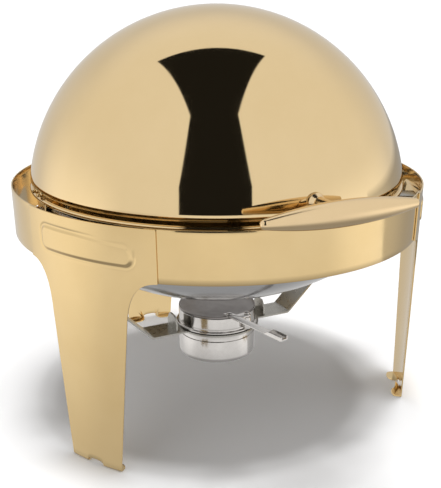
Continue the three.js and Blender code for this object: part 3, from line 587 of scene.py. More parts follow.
@dataclass
class SheetFrame:
    """The three legs and three band panels that make up the stand."""

    sheet: float = 0.0015
    gap: float = 0.0003
    lean: float = 0.0066
    plate_half_angle: float = 20.0
    tuck_angle: float = 3.0
    throat_half_width: float = 0.0484
    foot_half_width: float = 0.0328
    arch_depth: float = 0.043
    emboss_half: Point2 = (0.057, 0.012)
    emboss_corner: float = 0.008
    emboss_depth: float = 0.00125
    emboss_slope: float = 0.0023
    soft_from: float = 0.8
    soft_full: float = 1.5
    soft_spread: float = 1.9
    soft_fall: float = 0.25
    groove_depth: float = 0.0007
    groove_width: float = 0.0016
    notch_half_width: float = 0.011
    notch_height: float = 0.0052
    pad_length: float = 0.0125
    fold_radius: float = 0.0018
    leg_azimuths: dict[str, float] = field(
        default_factory=lambda: {"left": -60.0, "right": 60.0, "rear": 180.0}
    )
    panel_azimuths: dict[str, float] = field(
        default_factory=lambda: {"front": 0.0, "rear_right": 120.0, "rear_left": -120.0}
    )

    def shell_radius(self, height: float) -> float:
        """The outside radius of the leaning legs at a height."""
        top = PLACES.panel_radius + self.sheet + self.gap
        return top - self.lean * (1 - height / PLACES.rim_top)

    def half_width(self, share: float) -> Point2:
        """The leg's outline from its top to its foot.

        Args:
            share: 0 at the rim, 1 at the plate's lower corner, 2 at the end of the arch, 3 at the floor.

        Returns:
            Half the width, and the height.
        """
        plate = self.shell_radius(PLACES.rim_top) * math.sin(math.radians(self.plate_half_angle))
        throat = PLACES.band_bottom - self.arch_depth
        lean = (self.throat_half_width - self.foot_half_width) / throat
        corner = self.throat_half_width + lean * self.arch_depth
        if share <= 1:
            return plate, PLACES.rim_top + (PLACES.band_bottom - PLACES.rim_top) * share
        if share <= 2:
            along = share - 1
            width = plate * (1 - along) ** 2 + corner * 2 * along * (1 - along)
            width += self.throat_half_width * along**2
            height = PLACES.band_bottom * (1 - along**2) + throat * along**2
            return width, height
        down = share - 2
        taper = (self.foot_half_width - self.throat_half_width) * down
        return self.throat_half_width + taper, throat * (1 - down)

    def emboss(self, across: float, height: float) -> float:
        """How far the raised panel stands out at a point of a leg plate.

        Args:
            across: Distance from the leg's middle.
            height: Height above the floor.

        Returns:
            The rise in metres.
        """
        middle = (PLACES.rim_top + PLACES.band_bottom) / 2
        half_across, half_up = self.emboss_half
        past_across = abs(across) - (half_across - self.emboss_corner)
        past_up = abs(height - middle) - (half_up - self.emboss_corner)
        outside = math.hypot(max(past_across, 0.0), max(past_up, 0.0)) + min(max(past_across, past_up), 0.0)
        inside = self.emboss_corner - outside
        towards_corner = across / half_across + (height - middle) / half_up
        soft = min(max((towards_corner - self.soft_from) / (self.soft_full - self.soft_from), 0.0), 1.0)
        slope = self.emboss_slope * (1 + self.soft_spread * soft)
        share = min(max(inside / slope, 0.0), 1.0) * (1 - self.soft_fall * soft)
        groove = math.exp(-(((inside + self.groove_width) / self.groove_width) ** 2))
        return self.emboss_depth * share * share * (3 - 2 * share) - self.groove_depth * groove * (1 - soft)

    def on_shell(self, across: float, height: float, proud: float = 0.0) -> Vector:
        """A point of the leaning shell at the handle side, about the origin."""
        radius = self.shell_radius(height) + proud
        return Vector((across, -math.sqrt(max(radius**2 - across**2, 0.0)), height))

    def notch(self, across: float) -> float:
        """Height of the foot's notch at a distance from the leg's middle."""
        share = min(abs(across) / self.notch_half_width, 1.0)
        return self.notch_height * (1 - share**4) ** 0.5

    def columns(self) -> list[float]:
        """Places across a leg, from -1 to 1, close together at the notch's sides.

        Returns:
            The places, in order.
        """
        edge = self.notch_half_width / self.foot_half_width
        inner = [edge * math.sin(math.pi / 2 * step / 14) for step in range(15)]
        outer = [edge + (1 - edge) * step / 60 for step in range(1, 61)]
        half = inner + outer
        return [-value for value in reversed(half)] + half[1:]

    def leg_rows(self) -> list[list[Vector]]:
        """The outer face of a leg, from its rim down to the tips of its folded foot pads.

        Returns:
            Rows of points from the rim to the pads.
        """
        columns = self.columns()
        shares = [step / 66 for step in range(66)]
        shares += [1 + (step / 16) ** 1.3 for step in range(16)]
        shares += [2 + step / 28 for step in range(29)]
        rows: list[list[Vector]] = []
        floor_zone = 0.03
        for share in shares:
            half, height = self.half_width(share)
            row = []
            for column in columns:
                across = column * half
                fall = min(max(1 - height / floor_zone, 0.0), 1.0)
                lift = (self.notch(across) + self.fold_rise(across)) * fall
                raised = height + lift
                row.append(self.on_shell(across, raised, self.emboss(across, raised)))
            rows.append(row)
        rows += self.pad_rows(columns)
        return rows

    def fold_rise(self, across: float) -> float:
        """Room that the fold of a foot pad takes above the floor."""
        return self.fold_radius if abs(across) >= self.notch_half_width else 0.0

    def pad_rows(self, columns: Sequence[float]) -> list[list[Vector]]:
        """Rows of the fold and of the pads that point inwards; at the notch they stay on its edge.

        Args:
            columns: Places across the leg, from -1 to 1.

        Returns:
            The rows that follow the last row of the leg.
        """
        rows = []
        bends = 5
        runs = 7
        for step in range(1, bends + runs + 1):
            row = []
            for column in columns:
                across = column * self.foot_half_width
                start = self.on_shell(across, self.notch(across) + self.fold_rise(across))
                if abs(across) < self.notch_half_width:
                    row.append(start)
                    continue
                turn = math.pi / 2 * min(step / bends, 1.0)
                inward = self.fold_radius * (1 - math.cos(turn))
                drop = self.fold_radius * math.sin(turn)
                middle = (self.notch_half_width + self.foot_half_width) / 2
                half = (self.foot_half_width - self.notch_half_width) / 2
                side = (abs(across) - middle) / (half * 1.02)
                reach = self.pad_length * (0.45 + 0.55 * math.sqrt(max(1 - side**2, 0.0))) - self.fold_radius
                inward += reach * max(step - bends, 0) / runs
                direction = Vector((-start.x, -start.y, 0.0)).normalized()
                row.append(start + direction * inward - Vector((0, 0, drop)))
            rows.append(row)
        return rows

    def build_leg(self, place: str, azimuth: float) -> None:
        """Builds and dresses one leg.

        Args:
            place: Name of the leg.
            azimuth: Where it stands, in degrees from the handle.
        """
        mesh = gridded(self.leg_rows())
        piece = finished_mesh(f"leg_sheet_{place}", moved(mesh, turn_about_axis(azimuth)))
        self.face_outwards(piece)
        thickened(piece, self.sheet, 0.00035)
        dress(piece, FRAME_GOLD, Body.FRAME, f"leg_{place}")

    def face_outwards(self, piece: bpy.types.Object) -> None:
        """Flips a sheet whose faces point at the pans' axis.

        Args:
            piece: The sheet, which may be flipped.
        """
        first = piece.data.polygons[0]
        outward = Vector((first.center.x, first.center.y - PLACES.axis_y, 0.0))
        if first.normal.dot(outward) < 0:
            piece.data.flip_normals()

    def build_panel(self, place: str, azimuth: float) -> None:
        """Builds and dresses one band panel, its ends tucked behind the leg plates.

        Args:
            place: Name of the panel.
            azimuth: Where its middle is, in degrees from the handle.
        """
        half = 60 - self.plate_half_angle + self.tuck_angle
        inset = self.sheet + self.gap
        rows = []
        for level in range(9):
            height = PLACES.rim_top + (PLACES.band_bottom - PLACES.rim_top) * level / 8
            radius = self.shell_radius(height) - inset
            turns = [math.radians(-half + 2 * half * step / 96) for step in range(97)]
            rows.append([Vector((radius * math.sin(turn), -radius * math.cos(turn), height)) for turn in turns])
        piece = finished_mesh(f"band_sheet_{place}", moved(gridded(rows), turn_about_axis(azimuth)))
        self.face_outwards(piece)
        thickened(piece, self.sheet, 0.0004)
        dress(piece, FRAME_GOLD, Body.FRAME, f"band_{place}")

    def build(self) -> None:
        """Builds the legs and the panels."""
        for place, azimuth in self.leg_azimuths.items():
            self.build_leg(place, azimuth)
        for place, azimuth in self.panel_azimuths.items():
            self.build_panel(place, azimuth)


@dataclass
class PanSupport:
    """The ring that carries the pans, its brackets and the lid's bumpers."""

    ring_sheet: float = 0.003
    bracket_sheet: float = 0.002
    bracket_width: float = 0.026
    bend: float = 0.0028
    bracket_azimuths: dict[str, float] = field(
        default_factory=lambda: {
            "front_left": -20.0, "front_right": 20.0, "side_left": -60.0, "side_right": 60.0,
        }
    )
    bumper_azimuths: dict[str, float] = field(default_factory=lambda: {"left": -20.0, "right": 20.0})

    def build_ring(self) -> None:
        """Builds and dresses the flat bar ring."""
        low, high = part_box("pan_support_ring")
        outer = high[0]
        corners = [
            (outer - self.ring_sheet, low[2], 0.0005),
            (outer, low[2], 0.0005),
            (outer, high[2], 0.0005),
            (outer - self.ring_sheet, high[2], 0.0005),
        ]
        outline = rounded_profile(corners, 3, closed=True)
        mesh = moved(revolved(outline, 144, closed=True), turn_about_axis(0.0))
        dress(finished_mesh("pan_ring_bar", mesh), STRIP_STEEL, Body.FRAME, "pan_support_ring")

    def build_bracket(self, place: str, azimuth: float) -> None:
        """Builds one bracket as a bent strip between the ring and the stand.

        Args:
            place: Name of the bracket.
            azimuth: Where it is, in degrees from the handle.
        """
        node = f"ring_bracket_{place}"
        low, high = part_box(node)
        corners = [Vector((x, y - PLACES.axis_y, 0.0)) for x in (low[0], high[0]) for y in (low[1], high[1])]
        outward = Vector((math.sin(math.radians(azimuth)), -math.cos(math.radians(azimuth)), 0.0))
        across = Vector((outward.y, -outward.x, 0.0))
        spread = self.bracket_width / 2
        reaches = [corner.dot(outward) for corner in corners]
        trim = abs(outward.x * outward.y) * 2 * spread
        near = min(reaches) + trim
        far = max(reaches) - trim
        size_along = ((high[0] - low[0]) - 2 * spread * abs(across.x)) / max(abs(outward.x), 1e-6)
        middle = (near + far) / 2
        near, far = middle - size_along / 2, middle + size_along / 2
        half = self.bracket_sheet / 2
        path = rounded_profile(
            [
                (near + half, low[2], 0.0),
                (near + half, high[2] - half, self.bend),
                (far - half, high[2] - half, self.bend),
                (far - half, low[2], 0.0),
            ],
            5,
        )
        rows = [[Vector((x, -distance, height)) for x in (-spread, 0.0, spread)] for distance, height in path]
        piece = finished_mesh(f"bracket_strip_{place}", moved(gridded(rows), turn_about_axis(azimuth)), 60)
        solidify = piece.modifiers.new("sheet", "SOLIDIFY")
        solidify.thickness = self.bracket_sheet
        solidify.offset = 0.0
        broken_edge(piece, 0.0003)
        dress(applied(piece), STRIP_STEEL, Body.FRAME, node)

    def build_bumper(self, place: str) -> None:
        """Builds one domed rubber bumper under the lid's hem.

        Args:
            place: Name of the bumper.
        """
        node = f"lid_bumper_{place}"
        low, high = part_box(node)
        radius = (high[0] - low[0]) / 2
        corners = [
            (0.0, low[2], 0.0),
            (radius, low[2], 0.0004),
            (radius, low[2] + 0.004, 0.0006),
            (radius * 0.86, low[2] + 0.005, 0.0006),
            (radius * 0.86, high[2], 0.0016),
            (0.0, high[2], 0.0),
        ]
        mesh = revolved(rounded_profile(corners, 4), 32)
        centre = Vector(((low[0] + high[0]) / 2, (low[1] + high[1]) / 2, 0.0))
        piece = finished_mesh(f"bumper_{place}", moved(mesh, Matrix.Translation(centre)))
        dress(piece, RUBBER, Body.FRAME, node)

    def build(self) -> None:
        """Builds the ring, the brackets and the bumpers."""
        self.build_ring()
        for place, azimuth in self.bracket_azimuths.items():
            self.build_bracket(place, azimuth)
        for place in self.bumper_azimuths:
            self.build_bumper(place)


@dataclass
class Pans:
    """The water pan with its round bowl, and the food pan that hangs in it."""

    sheet: float = 0.0012
    bowl_radius: float = 0.294
    water_wall_inset: float = 0.0159
    food_wall_inset: float = 0.0199
    food_floor_inset: float = 0.0359
    food_corner: float = 0.014

    def build_water_pan(self) -> None:
        """Builds and dresses the water pan."""
        low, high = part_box("water_pan")
        flange = high[0]
        wall = flange - self.water_wall_inset
        centre = low[2] + self.bowl_radius
        edge = math.degrees(math.asin(wall / self.bowl_radius))
        outer = arc((0.0, centre), self.bowl_radius, -90, -90 + edge, 28)
        inner = arc((0.0, centre), self.bowl_radius - self.sheet, -90 + edge - 0.22, -90, 28)
        under = high[2] - self.sheet
        outline = outer + rounded_profile([
            (wall, outer[-1][1] + 0.004, 0.0),
            (wall, under, 0.002),
            (flange - 0.0006, under, 0.0),
        ])
        outline += arc((flange - self.sheet / 2, under + self.sheet / 2), self.sheet / 2, -90, 90, 6)
        outline += rounded_profile([
            (flange - 0.0012, high[2], 0.0),
            (wall - self.sheet, high[2], 0.0025),
            (wall - self.sheet, outer[-1][1] + 0.004, 0.0),
        ])
        outline += inner
        outline[0] = (0.0, low[2])
        outline[-1] = (0.0, low[2] + self.sheet)
        mesh = moved(revolved(outline, 144), turn_about_axis(0.0))
        dress(finished_mesh("water_pan_shell", mesh), PAN_STEEL, Body.FRAME, "water_pan")

    def build_food_pan(self) -> None:
        """Builds and dresses the food pan."""
        low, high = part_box("food_pan")
        flange = high[0]
        wall = flange - self.food_wall_inset
        floor = flange - self.food_floor_inset
        under = high[2] - self.sheet
        outline = rounded_profile([
            (0.0, low[2], 0.0),
            (floor, low[2], self.food_corner),
            (wall, under, 0.002),
            (flange - 0.0006, under, 0.0),
        ], 8)
        outline += arc((flange - self.sheet / 2, under + self.sheet / 2), self.sheet / 2, -90, 90, 6)
        outline += rounded_profile([
            (flange - 0.0012, high[2], 0.0),
            (wall - self.sheet, high[2], 0.0025),
            (floor - self.sheet, low[2] + self.sheet, self.food_corner - self.sheet),
            (0.0, low[2] + self.sheet, 0.0),
        ], 8)
        mesh = moved(revolved(outline, 144), turn_about_axis(0.0))
        dress(finished_mesh("food_pan_shell", mesh), PAN_STEEL, Body.FRAME, "food_pan")

    def build(self) -> None:
        """Builds both pans."""
        self.build_water_pan()
        self.build_food_pan()


@dataclass
class RollLid:
    """The domed lid with its hem and rolled bead, its pivot lugs and its handle."""

    sheet: float = 0.0015
    crease_rise: float = 0.0286
    hem_inset: float = 0.0012
    bead_reach: float = 0.0027
    bead_height: float = 0.0046
    bar_tip_radius: float = 0.005
    stem_radius: float = 0.0068
    stem_foot_radius: float = 0.009
    stem_foot_length: float = 0.006

    def sphere_radius(self) -> float:
        """The lid's outside radius about its pivot axis."""
        return PLACES.lid_top - PLACES.pivot_z

    def build_dome(self) -> None:
        """Builds the dome: a ball's cap, a crease, an upright hem and a rolled bead."""
        radius = self.sphere_radius()
        centre = (0.0, PLACES.pivot_z)
        crease = math.degrees(math.asin(self.crease_rise / radius))
        hem = PLACES.bead_radius - self.bead_reach
        bead_centre = (PLACES.bead_radius - self.bead_height / 2, PLACES.hem_bottom + self.bead_height / 2)
        outer = arc(centre, radius, 90, crease, 72)
        fold = (outer[-1][0] - self.hem_inset * 0.4, PLACES.pivot_z + self.crease_rise - self.hem_inset * 1.2)
        outline = outer[:-1] + rounded_profile([
            (*outer[-1], 0.0),
            (*fold, 0.0008),
            (hem, fold[1] - self.hem_inset, 0.001),
            (hem, bead_centre[1] + self.bead_height * 0.42, 0.0),
        ])
        outline += arc(bead_centre, self.bead_height / 2, 140, -90, 14)
        inner = hem - self.sheet
        outline += rounded_profile([
            (bead_centre[0] - 0.0006, PLACES.hem_bottom, 0.0),
            (inner, PLACES.hem_bottom, 0.0006),
            (inner, PLACES.pivot_z + self.crease_rise - self.hem_inset, 0.0),
        ])
        outline += arc(centre, radius - self.sheet, crease + 0.5, 90, 72)
        outline[0] = (0.0, PLACES.lid_top)
        outline[-1] = (0.0, PLACES.lid_top - self.sheet)
        mesh = moved(revolved(outline, 240), turn_about_axis(0.0))
        dress(finished_mesh("lid_shell", mesh, 28), LID_GOLD, Body.LID, "lid_dome")

    def build_lugs(self) -> None:
        """Builds the two plates that carry the lid on its pivots."""
        for place, side in (("left", -1.0), ("right", 1.0)):
            node = f"lid_lug_{place}"
            low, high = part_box(node)
            half = (high[1] - low[1]) / 2
            eye = PLACES.pivot_z - low[2]
            corners = [(-half, high[2], 0.003), (-half, PLACES.hem_bottom, 0.004), (-eye, PLACES.pivot_z, 0.0)]
            left = rounded_profile([(0.0, high[2], 0.0), *corners], 4)
            bottom = arc((0.0, PLACES.pivot_z), eye, 180, 360, 20)
            right = [(-across, height) for across, height in reversed(left)]
            outline = left[:-1] + bottom + right[1:-1]
            faces = [
                [Vector((x, PLACES.axis_y + across, height)) for across, height in outline]
                for x in (low[0], high[0])
            ]
            piece = finished_mesh(f"lug_plate_{place}", lofted(faces), 40)
            broken_edge(piece, 0.0003)
            dress(applied(piece), LID_GOLD, Body.LID, node)

    def build_bar(self) -> None:
        """Builds the spindle-shaped grip of the handle."""
        low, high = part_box("handle_bar")
        middle_radius = (high[2] - low[2]) / 2
        half = (high[0] - low[0]) / 2
        straight = half - self.bar_tip_radius
        swell = middle_radius - self.bar_tip_radius
        shares = [step / 40 for step in range(41)]
        body = [(self.bar_tip_radius + swell * (1 - share**2), straight * share) for share in shares]
        tip = arc((0.0, straight), self.bar_tip_radius, 0, 90, 10)[1:]
        upper = body + tip
        upper[-1] = (0.0, half)
        lower = [(radius, -along) for radius, along in reversed(upper[1:])]
        centre = Vector((0.0, (low[1] + high[1]) / 2, (low[2] + high[2]) / 2))
        turn = Matrix.Translation(centre) @ Matrix.Rotation(math.pi / 2, 4, "Y")
        grip = finished_mesh("handle_grip", moved(revolved(lower + upper, 64), turn))
        dress(grip, HANDLE_GOLD, Body.LID, "handle_bar")

    def build_stem(self) -> None:
        """Builds the post between the lid and the grip, flared where it meets the lid."""
        low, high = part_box("handle_stem")
        height = (low[2] + high[2]) / 2
        rise = height - PLACES.pivot_z
        seat = math.sqrt(self.sphere_radius() ** 2 - rise**2)
        grip_low, grip_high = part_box("handle_bar")
        end = PLACES.axis_y - low[1]
        shoulder = PLACES.axis_y - grip_high[1] + 0.0006
        neck = seat + self.stem_foot_length
        outline = rounded_profile([
            (0.0, seat - 0.004, 0.0),
            (self.stem_foot_radius, seat - 0.004, 0.0),
            (self.stem_foot_radius, seat + 0.0022, 0.0012),
            (self.stem_radius * 0.86, neck, 0.004),
            (self.stem_radius, shoulder, 0.001),
            (self.stem_radius * 0.6, shoulder + 0.001, 0.0),
            (self.stem_radius * 0.6, end, 0.0),
            (0.0, end, 0.0),
        ], 6)
        turn = Matrix.Translation((0.0, PLACES.axis_y, height)) @ Matrix.Rotation(math.pi / 2, 4, "X")
        piece = finished_mesh("handle_post", moved(revolved(outline, 48), turn))
        sphere = bmesh.new()
        bmesh.ops.create_uvsphere(sphere, u_segments=180, v_segments=90, radius=self.sphere_radius() + 0.0001)
        centre = Matrix.Translation((0.0, PLACES.axis_y, PLACES.pivot_z))
        cut(piece, finished_mesh("seat_cutter", moved(sphere, centre)), "DIFFERENCE")
        shank_end = PLACES.axis_y - high[1]
        shank = revolved([(0.0, shank_end), (0.003, shank_end), (0.003, seat + 0.003), (0.0, seat + 0.003)], 24)
        cut(piece, finished_mesh("shank", moved(shank, turn)), "UNION")
        dress(piece, HANDLE_GOLD, Body.LID, "handle_stem")

    def dress_fixings(self) -> None:
        """Gives the washer and nut inside the lid their finish."""
        for node in ("handle_washer", "handle_nut"):
            redress(node, ZINC_PLATE)

    def build(self) -> None:
        """Builds the lid's pieces."""
        self.build_dome()
        self.build_lugs()
        self.build_bar()
        self.build_stem()
        self.dress_fixings()


def redress(node: str, finish: Finish) -> None:
    """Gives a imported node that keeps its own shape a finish.

    Args:
        node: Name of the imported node.
        finish: The finish that it gets.
    """
    piece = frame["nodes"][node]
    piece.data.materials.clear()
    piece.data.materials.append(finish.material())
    LOG.info("%s keeps its shape, finish %s", node, finish.name)


@dataclass
class Pivots:
    """The turned pieces that the lid rolls on, at both sides."""

    hole_radius: float = 0.0031

    def build_turned(self, node: str, finish: Finish, edge: float) -> None:
        """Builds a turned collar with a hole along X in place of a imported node.

        Args:
            node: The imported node.
            finish: Its finish.
            edge: Radius of its rounded edges.
        """
        low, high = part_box(node)
        outer = (high[1] - low[1]) / 2
        corners = [
            (self.hole_radius, low[0], 0.0002),
            (outer, low[0], edge),
            (outer, high[0], edge),
            (self.hole_radius, high[0], 0.0002),
        ]
        mesh = revolved(rounded_profile(corners, 3, closed=True), 48, closed=True)
        turn = Matrix.Translation((0.0, PLACES.axis_y, PLACES.pivot_z)) @ Matrix.Rotation(math.pi / 2, 4, "Y")
        dress(finished_mesh(f"{node}_turned", moved(mesh, turn)), finish, Body.FRAME, node)

    def build(self) -> None:
        """Builds the bosses, washers and spacers, and dresses the bolts."""
        for place in ("left", "right"):
            self.build_turned(f"pivot_boss_{place}", FRAME_GOLD, 0.0008)
            self.build_turned(f"friction_washer_{place}", NYLON, 0.0003)
            self.build_turned(f"pivot_spacer_{place}", BURNER_STEEL, 0.0004)
            redress(f"pivot_bolt_{place}", ZINC_PLATE)


@dataclass
class FuelStrap:
    """The bent strip that hangs from the pivots and carries the fuel holder."""

    sheet: float = 0.002
    flat_half_length: float = 0.092
    tab_low_drop: float = 0.0572
    hole_play: float = 0.0007
    ring_rim: float = 0.0034
    bend: float = 0.006
    ear_reach: float = 0.058
    ear_half_width: float = 0.013
    ear_height: float = 0.018
    width: float = 0.034

    def build_strip(self, low: Sequence[float], high: Sequence[float]) -> bpy.types.Object:
        """Builds the strip along X with rounded bends.

        Args:
            low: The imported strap's lowest corner.
            high: Its highest corner.

        Returns:
            The strip as a solid.
        """
        half_sheet = self.sheet / 2
        tab = high[0] - half_sheet
        bend_low = PLACES.pivot_z - self.tab_low_drop
        right = [
            (self.flat_half_length - half_sheet * 0.5, low[2] + half_sheet, self.bend),
            (tab, bend_low + half_sheet * 0.5, self.bend),
            (tab, high[2], 0.0),
        ]
        left = [(-x, z, radius) for x, z, radius in reversed(right)]
        path = rounded_profile([*left, *right], 8)
        width = self.width
        steps = [-width / 2, -width / 6, width / 6, width / 2]
        rows = [[Vector((x, PLACES.axis_y + across, z)) for across in steps] for x, z in path]
        piece = finished_mesh("fuel_strap_strip", gridded(rows), 60)
        solidify = piece.modifiers.new("sheet", "SOLIDIFY")
        solidify.thickness = self.sheet
        solidify.offset = 0.0
        solidify.use_even_offset = True
        return applied(piece)

    def build_ear(self, side: float, base: float) -> bpy.types.Object:
        """Builds one upright ear beside the fuel holder.

        Args:
            side: -1 at -X, 1 at +X.
            base: Height of the strap's upper face.

        Returns:
            The ear as a solid.
        """
        half = self.ear_half_width
        top = base + self.ear_height
        outline = rounded_profile([
            (-half, base - 0.001, 0.0),
            (half, base - 0.001, 0.0),
            (half, base + self.ear_height * 0.5, 0.004),
            (half * 0.55, top, 0.004),
            (-half * 0.55, top, 0.004),
            (-half, base + self.ear_height * 0.5, 0.004),
        ], 5)
        near, far = sorted((side * self.ear_reach, side * (self.ear_reach + self.sheet)))
        loops = [[Vector((x, PLACES.axis_y + across, z)) for across, z in outline] for x in (near, far)]
        return finished_mesh("ear", lofted(loops), 50)

    def build(self) -> None:
        """Builds the strap with its ring, its hole and its ears."""
        low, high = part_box("fuel_strap")
        base = low[2] + self.sheet
        collar = FuelHolder.collar_radius
        hole = collar + self.hole_play
        piece = self.build_strip(low, high)
        rim = hole + self.ring_rim
        ring = revolved([(0.0, low[2]), (rim, low[2]), (rim, base), (0.0, base)], 128)
        cut(piece, finished_mesh("ring", moved(ring, turn_about_axis(0.0))), "UNION")
        under, over = low[2] - 0.01, base + 0.01
        drill = revolved([(0.0, under), (hole, under), (hole, over), (0.0, over)], 128)
        cut(piece, finished_mesh("drill", moved(drill, turn_about_axis(0.0))), "DIFFERENCE")
        for side in (-1.0, 1.0):
            cut(piece, self.build_ear(side, base), "UNION")
        broken_edge(piece, 0.0003)
        applied(piece)
        piece.data.polygons.foreach_set("use_smooth", [True] * len(piece.data.polygons))
        piece.data.set_sharp_from_angle(angle=math.radians(35))
        dress(piece, STRIP_STEEL, Body.FRAME, "fuel_strap")


@dataclass
class FuelHolder:
    """The spun cup for the fuel, and the snuffer that swivels over its mouth."""

    sheet: float = 0.0012
    collar_radius: float = 0.0466
    neck_radius: float = 0.045
    body_radius: float = 0.0462
    body_height: float = 0.0275
    neck_height: float = 0.0065
    strap_clearance: float = 0.0043
    boss_radius: float = 0.005
    boss_height: float = 0.015
    lip_width: float = 0.0014
    lever_width: float = 0.010
    lever_sheet: float = 0.0016
    lever_azimuth: float = 13.0
    lever_offset: float = 0.017
    lever_inner: float = -0.018
    lever_outer: float = 0.081
    lug_half_width: float = 0.0054
    grip_length: float = 0.027
    grip_height: float = 0.005
    rivet_reach: float = -0.012

    def build_cup(self) -> None:
        """Builds the stepped cup with its beads and the post for the snuffer's pin."""
        low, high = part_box("fuel_cup")
        lever_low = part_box("snuffer_lever")[0][2]
        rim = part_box("snuffer_lid")[0][2] - 0.0003
        step = low[2] + self.body_height
        seat = step + self.neck_height
        bead_low = seat + self.strap_clearance
        bead = (high[0] - low[0]) / 2
        collar, body, neck, sheet = self.collar_radius, self.body_radius, self.neck_radius, self.sheet
        outline = rounded_profile([
            (0.0, low[2] + 0.001, 0.0),
            (body * 0.62, low[2] + 0.001, 0.002),
            (body * 0.66, low[2], 0.001),
            (body, low[2], 0.006),
            (body, step, 0.0009),
            (neck, step, 0.0012),
            (neck, seat, 0.001),
            (collar, seat, 0.0008),
            (collar, bead_low, 0.0003),
            (bead, bead_low, 0.001),
            (bead, bead_low + 2 * sheet, 0.001),
            (collar, bead_low + 2 * sheet, 0.0008),
            (collar - 0.0002, bead_low + 2 * sheet + 0.0016, 0.0008),
            (collar, bead_low + 2 * sheet + 0.0032, 0.0008),
            (collar, rim, 0.0008),
            (collar - sheet, rim, 0.0004),
            (collar - sheet, seat + sheet, 0.001),
            (neck - sheet, seat + sheet, 0.0005),
            (neck - sheet, step - sheet, 0.0005),
            (body - sheet, step - sheet, 0.0005),
            (body - sheet, low[2] + sheet, 0.0048),
            (0.0, low[2] + sheet + 0.0006, 0.0),
        ], 5)
        piece = finished_mesh("fuel_cup_shell", moved(revolved(outline, 128), turn_about_axis(0.0)))
        boss = revolved(
            rounded_profile([
                (0.0, rim - self.boss_height, 0.0),
                (self.boss_radius, rim - self.boss_height, 0.0012),
                (self.boss_radius, rim, 0.0005),
                (self.boss_radius * 0.7, rim, 0.0),
                (self.boss_radius * 0.7, lever_low - 0.0003, 0.0002),
                (0.0, lever_low - 0.0003, 0.0),
            ], 4),
            32,
        )
        boss_place = Matrix.Translation((PLACES.pin[0], PLACES.pin[1], 0.0))
        cut(piece, finished_mesh("boss", moved(boss, boss_place)), "UNION")
        piece.data.polygons.foreach_set("use_smooth", [True] * len(piece.data.polygons))
        piece.data.set_sharp_from_angle(angle=math.radians(35))
        dress(piece, BURNER_STEEL, Body.FRAME, "fuel_cup")

    def build_pin(self) -> None:
        """Builds the snuffer's pin with its domed head."""
        low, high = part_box("snuffer_pin")
        lever_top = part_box("snuffer_lever")[0][2] + self.lever_sheet
        head = (high[0] - low[0]) / 2
        rise = high[2] - lever_top - 0.0003
        turns = [math.pi / 2 * step / 8 for step in range(9)]
        dome = [(head * math.cos(turn), high[2] - rise + rise * math.sin(turn)) for turn in turns]
        dome[-1] = (0.0, high[2])
        under_head = lever_top + 0.0003
        outline = [(0.0, low[2]), (0.0022, low[2]), (0.0022, under_head), (head, under_head), *dome[1:]]
        mesh = moved(revolved(outline, 40), Matrix.Translation((PLACES.pin[0], PLACES.pin[1], 0.0)))
        dress(finished_mesh("snuffer_pin_turned", mesh), BURNER_STEEL, Body.FRAME, "snuffer_pin")

    def build_lid(self) -> None:
        """Builds the snuffer's disc with its thin raised rim, open under the lever."""
        low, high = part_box("snuffer_lid")
        radius = (high[0] - low[0]) / 2
        top = low[2] + self.sheet
        outline = rounded_profile([
            (0.0, low[2], 0.0),
            (radius, low[2], 0.0006),
            (radius, high[2], 0.0006),
            (radius - self.lip_width, high[2], 0.0006),
            (radius - self.lip_width - 0.0005, top, 0.001),
            (radius * 0.80, top - 0.0002, 0.001),
            (0.0, top, 0.0),
        ], 4)
        piece = finished_mesh("snuffer_disc", moved(revolved(outline, 128), turn_about_axis(0.0)))
        slot_tool = self.plate("slot", 0.0003, top, high[2] + 0.001)
        cut(piece, slot_tool, "DIFFERENCE")
        piece.data.polygons.foreach_set("use_smooth", [True] * len(piece.data.polygons))
        piece.data.set_sharp_from_angle(angle=math.radians(35))
        dress(piece, SNUFFER_STEEL, Body.SNUFFER, "snuffer_lid")

    def on_lever(self) -> Matrix:
        """Puts what is made along -Y with the pin at the origin in the lever's place."""
        place = Matrix.Translation((PLACES.pin[0], PLACES.pin[1], 0.0))
        return place @ Matrix.Rotation(math.radians(self.lever_azimuth), 4, "Z")

    def plate(self, name: str, play: float, bottom: float, top: float) -> bpy.types.Object:
        """The lever's outline as a flat solid: a strip, and a side lug that is round about the pin.

        Args:
            name: Name of the solid.
            play: How far it is grown all round.
            bottom: Height of its underside.
            top: Height of its upper side.

        Returns:
            The solid, in the lever's place.
        """
        half = self.lever_width / 2 + play
        lug = self.lug_half_width + play
        left, right = -self.lever_offset - half, -self.lever_offset + half
        near, far = -self.lever_inner + play, -self.lever_outer - play
        corner = 0.002
        outline = rounded_profile([
            (right, near, corner),
            (left, near, corner),
            (left, far, corner),
            (right, far, corner),
            (right, -lug, corner),
            (0.0, -lug, 0.0),
        ], 4)
        outline = [(right, near - corner * 1.5), *outline[1:]]
        outline += arc((0.0, 0.0), lug, -85, 85, 14)
        inner_bend = [(0.0, lug, 0.0), (right, lug, corner), (right, near, 0.0)]
        outline += [(0.0, lug), *rounded_profile(inner_bend, 4)[1:-1]]
        loops = [[Vector((x, y, z)) for x, y in outline] for z in (bottom, top)]
        return finished_mesh(name, moved(lofted(loops), self.on_lever()))

